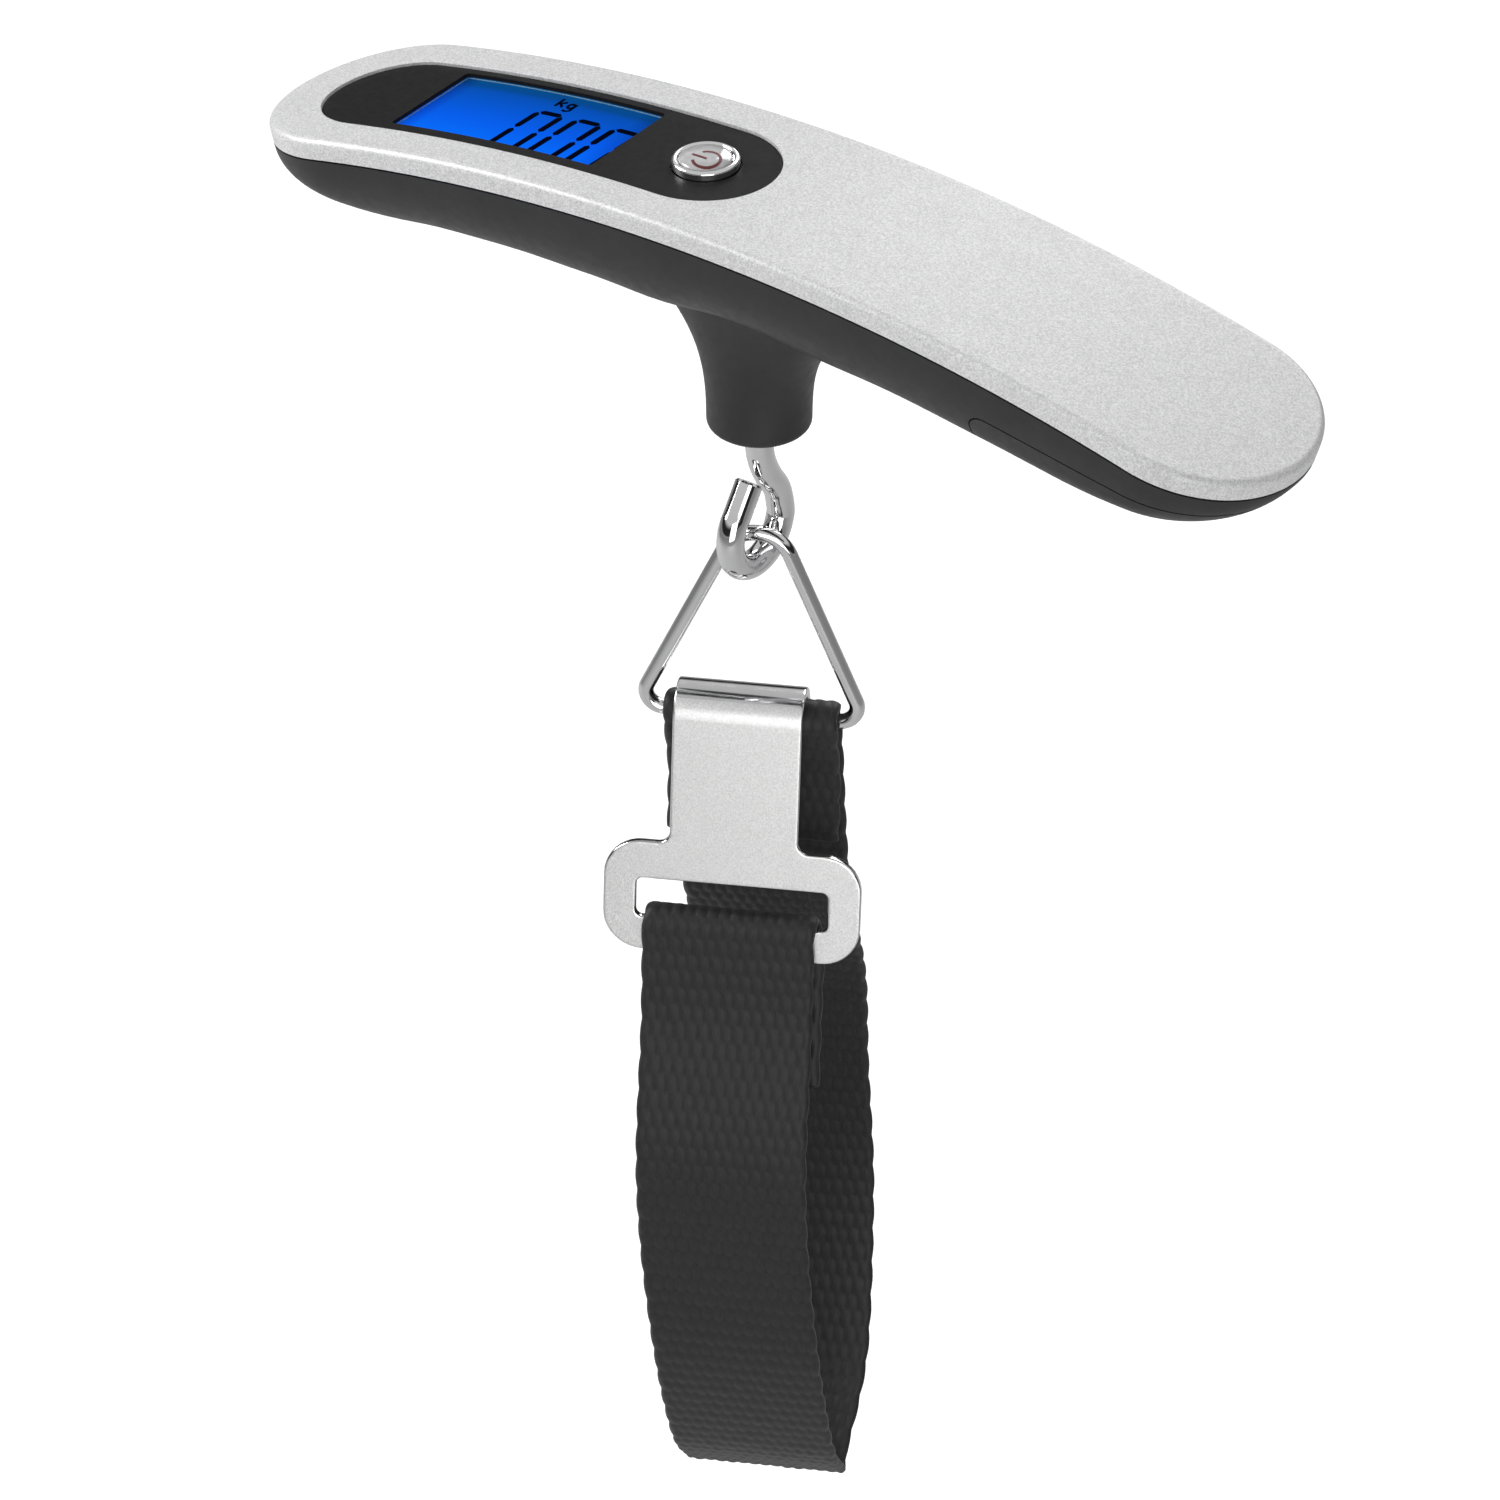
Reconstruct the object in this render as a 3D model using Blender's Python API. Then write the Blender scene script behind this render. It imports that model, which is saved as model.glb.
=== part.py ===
"""Digital luggage scale: an arched handle with a display, a hook, a triangle ring and a webbing loop.

Units are metres, +Z is up and the scale hangs as it does in use. +X runs along the handle towards its
battery end, and -Y is the side that faces the reader. The origin is on the hook's swivel axis, at the
level where the handle's two shells meet above it. Along the arch, u is the arc length from the apex,
v the distance across, and depth the distance below the top face.
"""

import math

import bmesh
import bpy
from mathutils import Matrix, Vector

GAP = 0.0003  # clearance between pieces that touch on the real scale

# Handle
ARCH_RADIUS = 0.297
ARCH_APEX_X = 0.0031
HANDLE_LENGTH = 0.1706
HANDLE_WIDTH = 0.0341
HANDLE_END = 0.0165
COVER_RIM = 0.0029
COVER_EDGE = 0.0010
COVER_THICKNESS = 0.0020
WALL = 0.0018
BELLY_DEPTH = 0.0141
BELLY_TAPER = 0.017
BELLY_DISPLAY_END = 0.0293
BELLY_BATTERY_END = 0.036
BELLY_END_POWER = 1.73
BELLY_SECTION_POWER = 2.48
BELLY_SWELLS = (  # (u, extra depth, spread): the belly is fuller beside the boss
    (-0.026, 0.0008, 0.010),
    (-0.012, 0.0015, 0.009),
    (0.016, 0.0006, 0.010),
    (0.052, -0.0005, 0.008),
    (-0.055, -0.0006, 0.009),
)

# Boss under the handle that carries the hook
BOSS_BOTTOM = -0.0357
BOSS_RADIUS = 0.00736
BOSS_FLARE_ALONG = 1044.0  # metres of extra radius per cubic metre of height, along the handle
BOSS_FLARE_ACROSS = 170.0
BOSS_TOP = -0.0122

# Display
WINDOW_CENTRE = -0.0395
WINDOW_LENGTH = 0.0757
WINDOW_WIDTH = 0.0209
WINDOW_END = 0.0108
WINDOW_TOP = 0.0004
WINDOW_FLOOR = 0.0013
LCD_CENTRE = -0.043
LCD_SIZE = (0.040, 0.019, 0.0018)
LCD_TOP = 0.00205
BOARD_TOP = 0.0078
BOARD_THICKNESS = 0.0012
BUTTON_CENTRE = -0.0121
BUTTON_RADIUS = 0.0046
BUTTON_HOLE = 0.0049

# Load cell, a beam fixed at one end that carries the hook at the other
CELL_BOTTOM = -0.0115
CELL_TOP = -0.0055
CELL_ENDS = (-0.008, 0.032)
CELL_WIDTH = 0.012
CELL_WAISTS = (0.0105, 0.0165)
CELL_SCREWS = (0.0235, 0.0290)

# Battery compartment
DOOR_EDGE = 0.044
DOOR_SEAM_DEPTH = 0.0085
DOOR_CORNER = 0.0025
COIN_CENTRE = 0.060
COIN_RADIUS = 0.010
COIN_THICKNESS = 0.0032
SHELL_SCREWS = ((-0.074, 0.0), (0.008, -0.0108), (0.008, 0.0108), (0.0365, 0.0))

# Hook and triangle ring
WIRE = 0.002
SHANK_TOP = -0.0006
EYE_CENTRE = (-0.00085, BOSS_BOTTOM - 0.01665)
EYE_RADIUS = 0.00595
RING_WIRE = 0.001125
RING_APEX = EYE_CENTRE[1] - EYE_RADIUS + WIRE + 4 * GAP + RING_WIRE
RING_BAR = BOSS_BOTTOM - 0.0493
RING_HALF_WIDTH = 0.0166
RING_SHIFT = -0.0012  # the bar's middle, along the ring, from the swivel axis
RING_APEX_BEND = 0.005
RING_CORNER_BEND = 0.0027
HANG_YAW = math.radians(27.5)

# Buckle plate, measured down its face from the level of the bar it hooks over
PLATE_THICKNESS = 0.0013
PLATE_LEAN = math.radians(11.6)
PLATE_CURL_END = math.radians(-20.0)
PLATE_NECK = 0.0186
PLATE_WIDTH = 0.0374
PLATE_SHOULDER = 0.0194
PLATE_LENGTH = 0.0365
PLATE_SLOT = (0.0279, 0.0061)
PLATE_LOWER_BAR = 0.0052
PLATE_SHIFT = -0.0025  # the plate has slid along the ring's bar

# Webbing
WEB_WIDTH = 0.025
WEB_THICKNESS = 0.0015
LOOP_BOTTOM = BOSS_BOTTOM - 0.190
LOOP_SHIFT = 0.0010


def clear_scene():
    for obj in list(bpy.data.objects):
        bpy.data.objects.remove(obj, do_unlink=True)


def principled(name, colour, roughness, metallic=0.0):
    material = bpy.data.materials.new(name)
    material.use_nodes = True
    shader = material.node_tree.nodes["Principled BSDF"]
    shader.inputs["Base Color"].default_value = (*colour, 1.0)
    shader.inputs["Roughness"].default_value = roughness
    shader.inputs["Metallic"].default_value = metallic
    material.diffuse_color = (*colour, 1.0)
    return material


def joint_empty(name, location, parent=None):
    """An empty on a joint's axis, which the moving pieces are parented to."""
    empty = bpy.data.objects.new(name, None)
    bpy.context.scene.collection.objects.link(empty)
    empty.location = location
    if parent:
        empty.parent = parent
        empty.matrix_parent_inverse = parent.matrix_world.inverted()
    bpy.context.view_layer.update()
    return empty


def add_object(name, shape, frame=None, body=None, material=None):
    """Links a bmesh or a mesh as an object placed by frame and parented to its body's empty."""
    if isinstance(shape, bmesh.types.BMesh):
        mesh = bpy.data.meshes.new(name)
        shape.to_mesh(mesh)
        shape.free()
    else:
        mesh = shape
    obj = bpy.data.objects.new(name, mesh)
    bpy.context.scene.collection.objects.link(obj)
    obj.matrix_world = frame or Matrix.Identity(4)
    if material:
        mesh.materials.append(material)
        mesh.shade_smooth()
        mesh.set_sharp_from_angle(angle=math.radians(35))
        obj.parent = body
        obj.matrix_parent_inverse = body.matrix_world.inverted()
    else:
        obj.hide_render = True
        obj.display_type = "WIRE"
    return obj


def boolean(obj, other, operation):
    modifier = obj.modifiers.new(f"{operation.lower()}_{other.name}", "BOOLEAN")
    modifier.operation = operation
    modifier.solver = "EXACT"
    modifier.object = other


def finish_shape(shape, merge=1e-6):
    bmesh.ops.remove_doubles(shape, verts=shape.verts, dist=merge)
    bmesh.ops.recalc_face_normals(shape, faces=shape.faces)
    return shape


def block(x, y, z):
    """A box between the two limits given along each axis."""
    shape = bmesh.new()
    bmesh.ops.create_cube(shape, size=1.0)
    for vert in shape.verts:
        vert.co = Vector(
            (low + (co + 0.5) * (high - low) for co, (low, high) in zip(vert.co, (x, y, z)))
        )
    return shape


def lathe(profile, segments=24):
    """A solid turned about Z from a closed outline of (radius, height) points."""
    shape = bmesh.new()
    verts = [shape.verts.new((radius, 0.0, height)) for radius, height in profile]
    edges = [shape.edges.new((a, b)) for a, b in zip(verts, verts[1:] + verts[:1])]
    bmesh.ops.spin(
        shape,
        geom=verts + edges,
        cent=(0, 0, 0),
        axis=(0, 0, 1),
        angle=2 * math.pi,
        steps=segments,
        use_merge=True,
        use_duplicate=False,
    )
    bmesh.ops.remove_doubles(shape, verts=shape.verts, dist=1e-7)
    wires = [edge for edge in shape.edges if not edge.link_faces]
    bmesh.ops.delete(shape, geom=wires, context="EDGES")
    return finish_shape(shape)


def disc(radius, low, high, segments=24):
    return lathe([(0, low), (radius, low), (radius, high), (0, high)], segments)


def collar(outer, inner, low, high, segments=24):
    return lathe([(inner, low), (outer, low), (outer, high), (inner, high)], segments)


def slab(outlines, low, high):
    """A flat solid between two heights, from an outer outline and any hole outlines in XY."""
    shape = bmesh.new()
    for outline in outlines:
        verts = [shape.verts.new((x, y, low)) for x, y in outline]
        for pair in zip(verts, verts[1:] + verts[:1]):
            shape.edges.new(pair)
    bmesh.ops.triangle_fill(shape, use_beauty=True, edges=shape.edges[:])
    raised = bmesh.ops.extrude_face_region(shape, geom=shape.faces[:])
    verts = [item for item in raised["geom"] if isinstance(item, bmesh.types.BMVert)]
    bmesh.ops.translate(shape, verts=verts, vec=(0, 0, high - low))
    return finish_shape(shape)


def rounded(corners, steps=5):
    """A closed outline through (x, y, radius) corners, each rounded by its radius."""
    points = []
    for i, (x, y, radius) in enumerate(corners):
        corner = Vector((x, y))
        before = Vector(corners[i - 1][:2])
        after = Vector(corners[(i + 1) % len(corners)][:2])
        to_before = (before - corner).normalized()
        to_after = (after - corner).normalized()
        half = to_before.angle(to_after) / 2
        if radius == 0 or half > math.radians(89):
            points.append((x, y))
            continue
        middle = corner + (to_before + to_after).normalized() * (radius / math.sin(half))
        start = corner + to_before * (radius / math.tan(half)) - middle
        end = corner + to_after * (radius / math.tan(half)) - middle
        for k in range(steps + 1):
            arm = start.normalized().slerp(end.normalized(), k / steps)
            points.append(tuple(middle + arm * radius))
    return points


def rounded_box(across, along, radius, steps=3):
    """A rounded rectangle between two values of x and two of y."""
    (x0, x1), (y0, y1) = across, along
    return rounded([(x0, y0, radius), (x1, y0, radius), (x1, y1, radius), (x0, y1, radius)], steps)


def smooth_path(points, steps):
    """Points on a smooth curve through the given ones, with a number of steps in each stretch."""
    knots = [Vector(p) for p in points]
    ends = [2 * knots[0] - knots[1]] + knots + [2 * knots[-1] - knots[-2]]
    path = []
    for before, a, b, after in zip(ends, ends[1:], ends[2:], ends[3:]):
        for k in range(steps):
            t = k / steps
            path.append(
                0.5
                * (
                    2 * a
                    + (b - before) * t
                    + (2 * before - 5 * a + 4 * b - after) * t**2
                    + (3 * a - before - 3 * b + after) * t**3
                )
            )
    return path + [knots[-1]]


def wire(name, points, radius, body, material, cyclic=False, sides=4):
    """A round wire along a path, as a curve with a bevel."""
    curve = bpy.data.curves.new(name, "CURVE")
    curve.dimensions = "3D"
    curve.bevel_depth = radius
    curve.bevel_resolution = sides
    curve.use_fill_caps = not cyclic
    spline = curve.splines.new("POLY")
    spline.points.add(len(points) - 1)
    for knot, point in zip(spline.points, points):
        knot.co = (*point, 1.0)
    spline.use_cyclic_u = cyclic
    spline.use_smooth = True
    obj = bpy.data.objects.new(name, curve)
    bpy.context.scene.collection.objects.link(obj)
    curve.materials.append(material)
    obj.parent = body
    obj.matrix_parent_inverse = body.matrix_world.inverted()
    return obj


def ribbon(path, thickness, width):
    """A flat strip that follows a path in YZ, with its width along X."""
    shape = bmesh.new()
    rows = []
    for i, point in enumerate(path):
        along = (path[min(i + 1, len(path) - 1)] - path[max(i - 1, 0)]).normalized()
        across = Vector((0, -along.z, along.y)) * (thickness / 2)
        rows.append(
            [
                shape.verts.new(point + across * side + Vector((end * width / 2, 0, 0)))
                for side, end in ((1, -1), (1, 1), (-1, 1), (-1, -1))
            ]
        )
    for a, b in zip(rows, rows[1:]):
        for k in range(4):
            shape.faces.new((a[k], a[(k + 1) % 4], b[(k + 1) % 4], b[k]))
    shape.faces.new(rows[0])
    shape.faces.new(rows[-1])
    return finish_shape(shape)


# The arch


def bend(u, v, depth):
    angle = u / ARCH_RADIUS
    reach = ARCH_RADIUS - depth
    x = ARCH_APEX_X + reach * math.sin(angle)
    z = COVER_RIM - ARCH_RADIUS + reach * math.cos(angle)
    return Vector((x, v, z))


def on_arch(u, v=0.0):
    """The frame at a point of the top face: its Z is the face's normal, so a depth is a negative height."""
    return Matrix.Translation(bend(u, v, 0.0)) @ Matrix.Rotation(u / ARCH_RADIUS, 4, "Y")


def arch_outline(length, width, end, centre=0.0, inset=0.0, end_steps=8, pitch=0.0075):
    """One side of a long rounded outline, as (u, v) from tip to tip."""
    half_length = length / 2 - inset
    half_width = width / 2 - inset
    end = end - inset
    straight = half_length - end
    angles = [k * math.pi / 2 / end_steps for k in range(end_steps)]
    side = [(straight + end * math.cos(a), half_width * math.sin(a)) for a in angles]
    steps = max(2, round(2 * straight / pitch))
    middle = [(straight * (1 - 2 * k / steps), half_width) for k in range(steps + 1)]
    other = [(-u, v) for u, v in reversed(side)]
    return [(centre - u, v) for u, v in side + middle + other]


def ladder(rings):
    """A solid from rings of (u, v, depth) on one side, mirrored in v and bent to the arch."""
    shape = bmesh.new()
    sides = [
        [[shape.verts.new(bend(u, sign * v, depth)) for u, v, depth in ring] for ring in rings]
        for sign in (1, -1)
    ]
    for side in sides:
        for ring, other in zip(side, side[1:]):
            for k in range(len(ring) - 1):
                shape.faces.new((ring[k], ring[k + 1], other[k + 1], other[k]))
    for end in (0, -1):
        left, right = sides[0][end], sides[1][end]
        for k in range(len(left) - 1):
            shape.faces.new((left[k], left[k + 1], right[k + 1], right[k]))
    return finish_shape(shape)


def arch_plate(outline_of, levels):
    """A plate bent to the arch, from (depth, inset) levels of one outline."""
    return ladder([[(u, v, depth) for u, v in outline_of(inset)] for depth, inset in levels])


def handle_outline(inset=0.0):
    return arch_outline(HANDLE_LENGTH, HANDLE_WIDTH, HANDLE_END, inset=inset)


def window_outline(inset=0.0):
    return arch_outline(WINDOW_LENGTH, WINDOW_WIDTH, WINDOW_END, WINDOW_CENTRE, inset, end_steps=6)


def belly_depth(u, inset):
    """How far the lower shell hangs below the seam at u."""
    run = BELLY_DISPLAY_END if u < 0 else BELLY_BATTERY_END
    past = abs(u) - (HANDLE_LENGTH / 2 - run)
    part = min(max(past / (run - inset), 0.0), 1.0)
    full = BELLY_DEPTH + BELLY_TAPER * u - inset
    full += sum(height * math.exp(-(((u - at) / spread) ** 2)) for at, height, spread in BELLY_SWELLS)
    return full * (1 - part**BELLY_END_POWER) ** (1 / BELLY_END_POWER)


def belly(inset, rise, steps=8):
    """The lower shell's outer form, or its inner one by inset, starting a little above or below the seam."""
    seam = COVER_RIM - rise
    outline = handle_outline(inset)
    rings = []
    if rise > 0:
        rings.append([(u, v, seam) for u, v in outline])
    for k in range(steps + 1):
        angle = k * math.pi / 2 / steps
        narrowing = abs(math.cos(angle)) ** (2 / BELLY_SECTION_POWER) if k < steps else 0.0
        drop = math.sin(angle) ** (2 / BELLY_SECTION_POWER)
        level = max(seam, COVER_RIM)
        rings.append([(u, v * narrowing, level + belly_depth(u, inset) * drop) for u, v in outline])
    return ladder(rings)


# Pieces of the handle


def make_top_cover(body, material):
    edge = COVER_EDGE
    levels = [(COVER_RIM, 0.0), (edge, 0.0), (edge * 0.3, edge * 0.3), (0.0, edge)]
    cover = add_object("top_cover", arch_plate(handle_outline, levels), None, body, material)
    cavity_levels = [(COVER_THICKNESS, WALL), (COVER_RIM + 0.001, WALL)]
    cavity = add_object("cut_cover_cavity", arch_plate(handle_outline, cavity_levels))
    boolean(cover, cavity, "DIFFERENCE")
    recess_levels = [(-0.001, -0.00015), (WINDOW_FLOOR, -0.00015)]
    boolean(cover, add_object("cut_recess", arch_plate(window_outline, recess_levels)), "DIFFERENCE")
    margin = 2 * GAP
    half_x = LCD_SIZE[0] / 2 + margin
    half_y = LCD_SIZE[1] / 2 + margin
    aperture = block((-half_x, half_x), (-half_y, half_y), (-0.004, -0.0008))
    boolean(cover, add_object("cut_aperture", aperture, on_arch(LCD_CENTRE)), "DIFFERENCE")
    hole = disc(BUTTON_HOLE, -0.004, 0.002)
    boolean(cover, add_object("cut_button_hole", hole, on_arch(BUTTON_CENTRE)), "DIFFERENCE")
    for i, (u, v) in enumerate(SHELL_SCREWS, 1):
        post = add_object(f"add_post_{i}", collar(0.0024, 0.0013, -0.007, -0.0016, 16), on_arch(u, v))
        boolean(cover, post, "UNION")
    return cover


def make_bottom_shell(body, material):
    shell = add_object("bottom_shell", belly(0.0, -GAP), None, body, material)
    boolean(shell, add_object("add_boss", boss_form()), "UNION")
    cavity = add_object("cut_belly_cavity", belly(WALL, 0.001, 6))
    for i, (u, v) in enumerate(SHELL_SCREWS, 1):
        column = add_object(f"keep_column_{i}", disc(0.0033, -0.030, -0.0073, 16), on_arch(u, v))
        boolean(cavity, column, "DIFFERENCE")
    half_width = CELL_WIDTH / 2
    seat = block((0.0203, CELL_ENDS[1]), (-half_width, half_width), (-0.030, CELL_BOTTOM - GAP))
    boolean(cavity, add_object("keep_cell_seat", seat), "DIFFERENCE")
    boolean(shell, cavity, "DIFFERENCE")
    bore = [
        (0, BOSS_BOTTOM - 0.001),
        (0.0036, BOSS_BOTTOM - 0.001),
        (0.0036, BOSS_BOTTOM + 0.003),
        (0.0045, BOSS_BOTTOM + 0.003),
        (0.0045, CELL_BOTTOM - 0.0006),
        (0, CELL_BOTTOM - 0.0006),
    ]
    boolean(shell, add_object("cut_boss_bore", lathe(bore)), "DIFFERENCE")
    boolean(shell, add_object("cut_doorway", door_region(GAP), on_arch(DOOR_EDGE)), "DIFFERENCE")
    for i, (u, v) in enumerate(SHELL_SCREWS, 1):
        well = [(0, -0.030), (0.0025, -0.030), (0.0025, -0.0088), (0.0013, -0.0088)]
        well += [(0.0013, -0.006), (0, -0.006)]
        boolean(shell, add_object(f"cut_well_{i}", lathe(well, 16), on_arch(u, v)), "DIFFERENCE")
    for i, x in enumerate(CELL_SCREWS, 1):
        place = Matrix.Translation((x, 0, 0))
        pilot = add_object(f"cut_pilot_{i}", disc(0.0015, -0.0142, -0.0105, 16), place)
        boolean(shell, pilot, "DIFFERENCE")
    return shell


def boss_form(steps=7):
    """A turned stub that flares into the belly, more along the handle than across it."""
    fillet = 0.0011
    outline = [(0, BOSS_BOTTOM), (BOSS_RADIUS - fillet, BOSS_BOTTOM)]
    outline.append((BOSS_RADIUS - fillet * 0.3, BOSS_BOTTOM + fillet * 0.3))
    for k in range(steps + 1):
        height = fillet + (BOSS_TOP - BOSS_BOTTOM - fillet) * k / steps
        outline.append((BOSS_RADIUS + BOSS_FLARE_ALONG * height**3, BOSS_BOTTOM + height))
    outline.append((0, BOSS_TOP))
    shape = lathe(outline, 32)
    for vert in shape.verts:
        cube = max(vert.co.z - BOSS_BOTTOM, 0.0) ** 3
        vert.co.y *= (BOSS_RADIUS + BOSS_FLARE_ACROSS * cube) / (BOSS_RADIUS + BOSS_FLARE_ALONG * cube)
    return shape


def door_region(margin):
    """The space of the battery door: all of the belly's end below a seam, in the frame at the door's edge."""
    seam = -DOOR_SEAM_DEPTH + margin
    edge = -margin
    radius = DOOR_CORNER + margin
    outline = rounded([(edge, -0.040, 0), (0.060, -0.040, 0), (0.060, seam, 0), (edge, seam, radius)])
    shape = slab([outline], -0.030, 0.030)
    bmesh.ops.rotate(shape, verts=shape.verts, matrix=Matrix.Rotation(math.pi / 2, 3, "X"))
    return shape


def make_battery_door(body, material):
    door = add_object("battery_door", belly(0.0, -GAP), None, body, material)
    boolean(door, add_object("cut_door_cavity", belly(WALL, 0.001, 6)), "DIFFERENCE")
    boolean(door, add_object("keep_door", door_region(0.0), on_arch(DOOR_EDGE)), "INTERSECT")
    hook = [(-0.003, -0.0152), (0.001, -0.0152), (0.001, -0.0172), (0.004, -0.0172)]
    hook += [(0.004, -0.0139), (-0.003, -0.0139)]
    tongue = slab([hook], -0.005, 0.005)
    bmesh.ops.rotate(tongue, verts=tongue.verts, matrix=Matrix.Rotation(math.pi / 2, 3, "X"))
    boolean(door, add_object("add_tongue", tongue, on_arch(DOOR_EDGE)), "UNION")
    return door


def make_display(body, materials):
    window_levels = [(0.0010, 0.0), (WINDOW_TOP, 0.0)]
    window = add_object(
        "display_window", arch_plate(window_outline, window_levels), None, body, materials["window"]
    )
    hole = add_object("cut_window_hole", disc(BUTTON_HOLE, -0.004, 0.002), on_arch(BUTTON_CENTRE))
    boolean(window, hole, "DIFFERENCE")
    frame = on_arch(LCD_CENTRE)
    length, width, thickness = LCD_SIZE
    bottom = LCD_TOP + thickness
    board = BOARD_TOP - GAP
    glass = block((-length / 2, length / 2), (-width / 2, width / 2), (-bottom, -LCD_TOP))
    add_object("lcd_panel", glass, frame, body, materials["lcd"])
    light = block((-0.0195, 0.0195), (-0.0065, 0.0092), (-board, -bottom - GAP))
    add_object("backlight", light, frame, body, materials["backlight"])
    strip = block((-0.019, 0.019), (-0.0090, -0.0070), (-board, -bottom - GAP))
    add_object("contact_strip", strip, frame, body, materials["rubber"])
    outer = rounded_box((-0.0220, 0.0220), (-0.0116, 0.0116), 0.001)
    half_x = length / 2 + GAP
    half_y = width / 2 + GAP
    inner = [(-half_x, -half_y), (half_x, -half_y), (half_x, half_y), (-half_x, half_y)]
    add_object("lcd_frame", slab([outer, inner], -board, -0.0032), frame, body, materials["white_plastic"])


def make_electronics(body, materials):
    frame = on_arch(LCD_CENTRE)
    bottom = BOARD_TOP + BOARD_THICKNESS
    outline = rounded_box((-0.0265, 0.0342), (-0.0125, 0.0125), 0.0015)
    add_object("main_board", slab([outline], -bottom, -BOARD_TOP), frame, body, materials["board"])
    chip = block((-0.006, 0.004), (-0.005, 0.005), (-bottom - 0.0013, -bottom - GAP))
    add_object("controller_chip", chip, frame, body, materials["chip"])
    switch = slab([rounded_box((-0.003, 0.003), (-0.003, 0.003), 0.0005, 2)], -0.0058, -0.0044)
    switch_body = add_object("switch_body", switch, on_arch(BUTTON_CENTRE), body, materials["chip"])
    socket = add_object("cut_switch", disc(0.0017, -0.0056, -0.0040, 16), on_arch(BUTTON_CENTRE))
    boolean(switch_body, socket, "DIFFERENCE")
    route = [(0.012, -0.003, -0.0042), (0.006, -0.0072, -0.0036)]
    route += [(-0.002, -0.0085, -0.0046), (-0.0075, -0.008, -0.0058)]
    wire("gauge_lead", smooth_path(route, 5), 0.0004, body, materials["lead"], sides=1)
    route = [(0.0455, 0.006, -0.0085), (0.040, 0.0055, -0.0048), (0.028, 0.005, -0.0029)]
    route += [(0.012, 0.005, -0.0022), (0.0, 0.0052, -0.0020), (-0.0050, 0.0055, -0.0022)]
    wire("battery_lead", smooth_path(route, 4), 0.0004, body, materials["red_lead"], sides=1)


def make_button(body, materials):
    frame = on_arch(BUTTON_CENTRE)
    radius = BUTTON_RADIUS
    profile = [(0, -0.0034), (0.0016, -0.0034), (0.0016, -0.0030), (0.0057, -0.0030), (0.0057, -0.0023)]
    profile += [(radius, -0.0023), (radius, 0.0006), (radius - 0.0003, 0.0009)]
    profile += [(0.0039, 0.0009), (0.0039, -0.0006), (0, -0.0006)]
    add_object("power_button", lathe(profile, 32), frame, body, materials["chrome"])
    lens = [(0, -0.0003), (0.0036, -0.0003), (0.0036, 0.0008), (0.0030, 0.0011), (0.0018, 0.0013), (0, 0.0014)]
    add_object("button_lens", lathe(lens, 32), frame, body, materials["clear"])
    add_object("switch_plunger", disc(0.0014, -0.0049, -0.0037, 16), frame, body, materials["white_plastic"])


def make_load_cell(body, materials):
    half_width = CELL_WIDTH / 2
    middle = (CELL_BOTTOM + CELL_TOP) / 2
    beam = block(CELL_ENDS, (-half_width, half_width), (CELL_BOTTOM, CELL_TOP))
    cell = add_object("load_cell", beam, None, body, materials["aluminium"])
    drills = [("hook", 0.0, 0.0026)] + [(f"screw_{i}", x, 0.0016) for i, x in enumerate(CELL_SCREWS, 1)]
    for label, x, radius in drills:
        drill = disc(radius, CELL_BOTTOM - 0.001, CELL_TOP + 0.001, 16)
        boolean(cell, add_object(f"cut_{label}", drill, Matrix.Translation((x, 0, 0))), "DIFFERENCE")
    turn = Matrix.Rotation(math.pi / 2, 4, "X")
    for i, x in enumerate(CELL_WAISTS, 1):
        waist = disc(0.0022, -0.010, 0.010, 16)
        cutter = add_object(f"cut_waist_{i}", waist, Matrix.Translation((x, 0, middle)) @ turn)
        boolean(cell, cutter, "DIFFERENCE")
    slot = block(CELL_WAISTS, (-0.010, 0.010), (middle - 0.0006, middle + 0.0006))
    boolean(cell, add_object("cut_waist_slot", slot), "DIFFERENCE")
    centre = sum(CELL_WAISTS) / 2
    gauge = ((centre - 0.0045, centre + 0.0045), (-0.0025, 0.0025))
    upper = block(*gauge, (CELL_TOP + GAP, CELL_TOP + 0.0006))
    add_object("gauge_upper", upper, None, body, materials["film"])
    lower = block(*gauge, (CELL_BOTTOM - 0.0006, CELL_BOTTOM - GAP))
    add_object("gauge_lower", lower, None, body, materials["film"])
    for i, x in enumerate(CELL_SCREWS, 1):
        place = Matrix.Translation((x, 0, 0))
        shape = screw(0.0012, 0.0023, -0.0138, CELL_TOP + GAP)
        add_object(f"cell_screw_{i}", shape, place, body, materials["steel"])
    washer = collar(0.0042, 0.00235, CELL_TOP + GAP, CELL_TOP + 0.0011)
    add_object("thrust_washer", washer, None, body, materials["steel"])
    bush = collar(0.0033, 0.00235, BOSS_BOTTOM + GAP, BOSS_BOTTOM + 0.0027)
    add_object("hook_bush", bush, None, body, materials["white_plastic"])


def screw(shank, head, tip, seat):
    """A pan-head screw that points down: its head sits on the seat's height and its tip is at tip's."""
    top = seat + 0.0014
    drive = 0.0009
    profile = [(0, tip), (shank * 0.4, tip), (shank, tip + 0.001), (shank, seat), (head, seat)]
    profile += [(head, top - 0.0004), (head * 0.75, top), (drive, top), (drive, top - 0.0008)]
    return lathe(profile + [(0, top - 0.0008)], 16)


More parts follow.
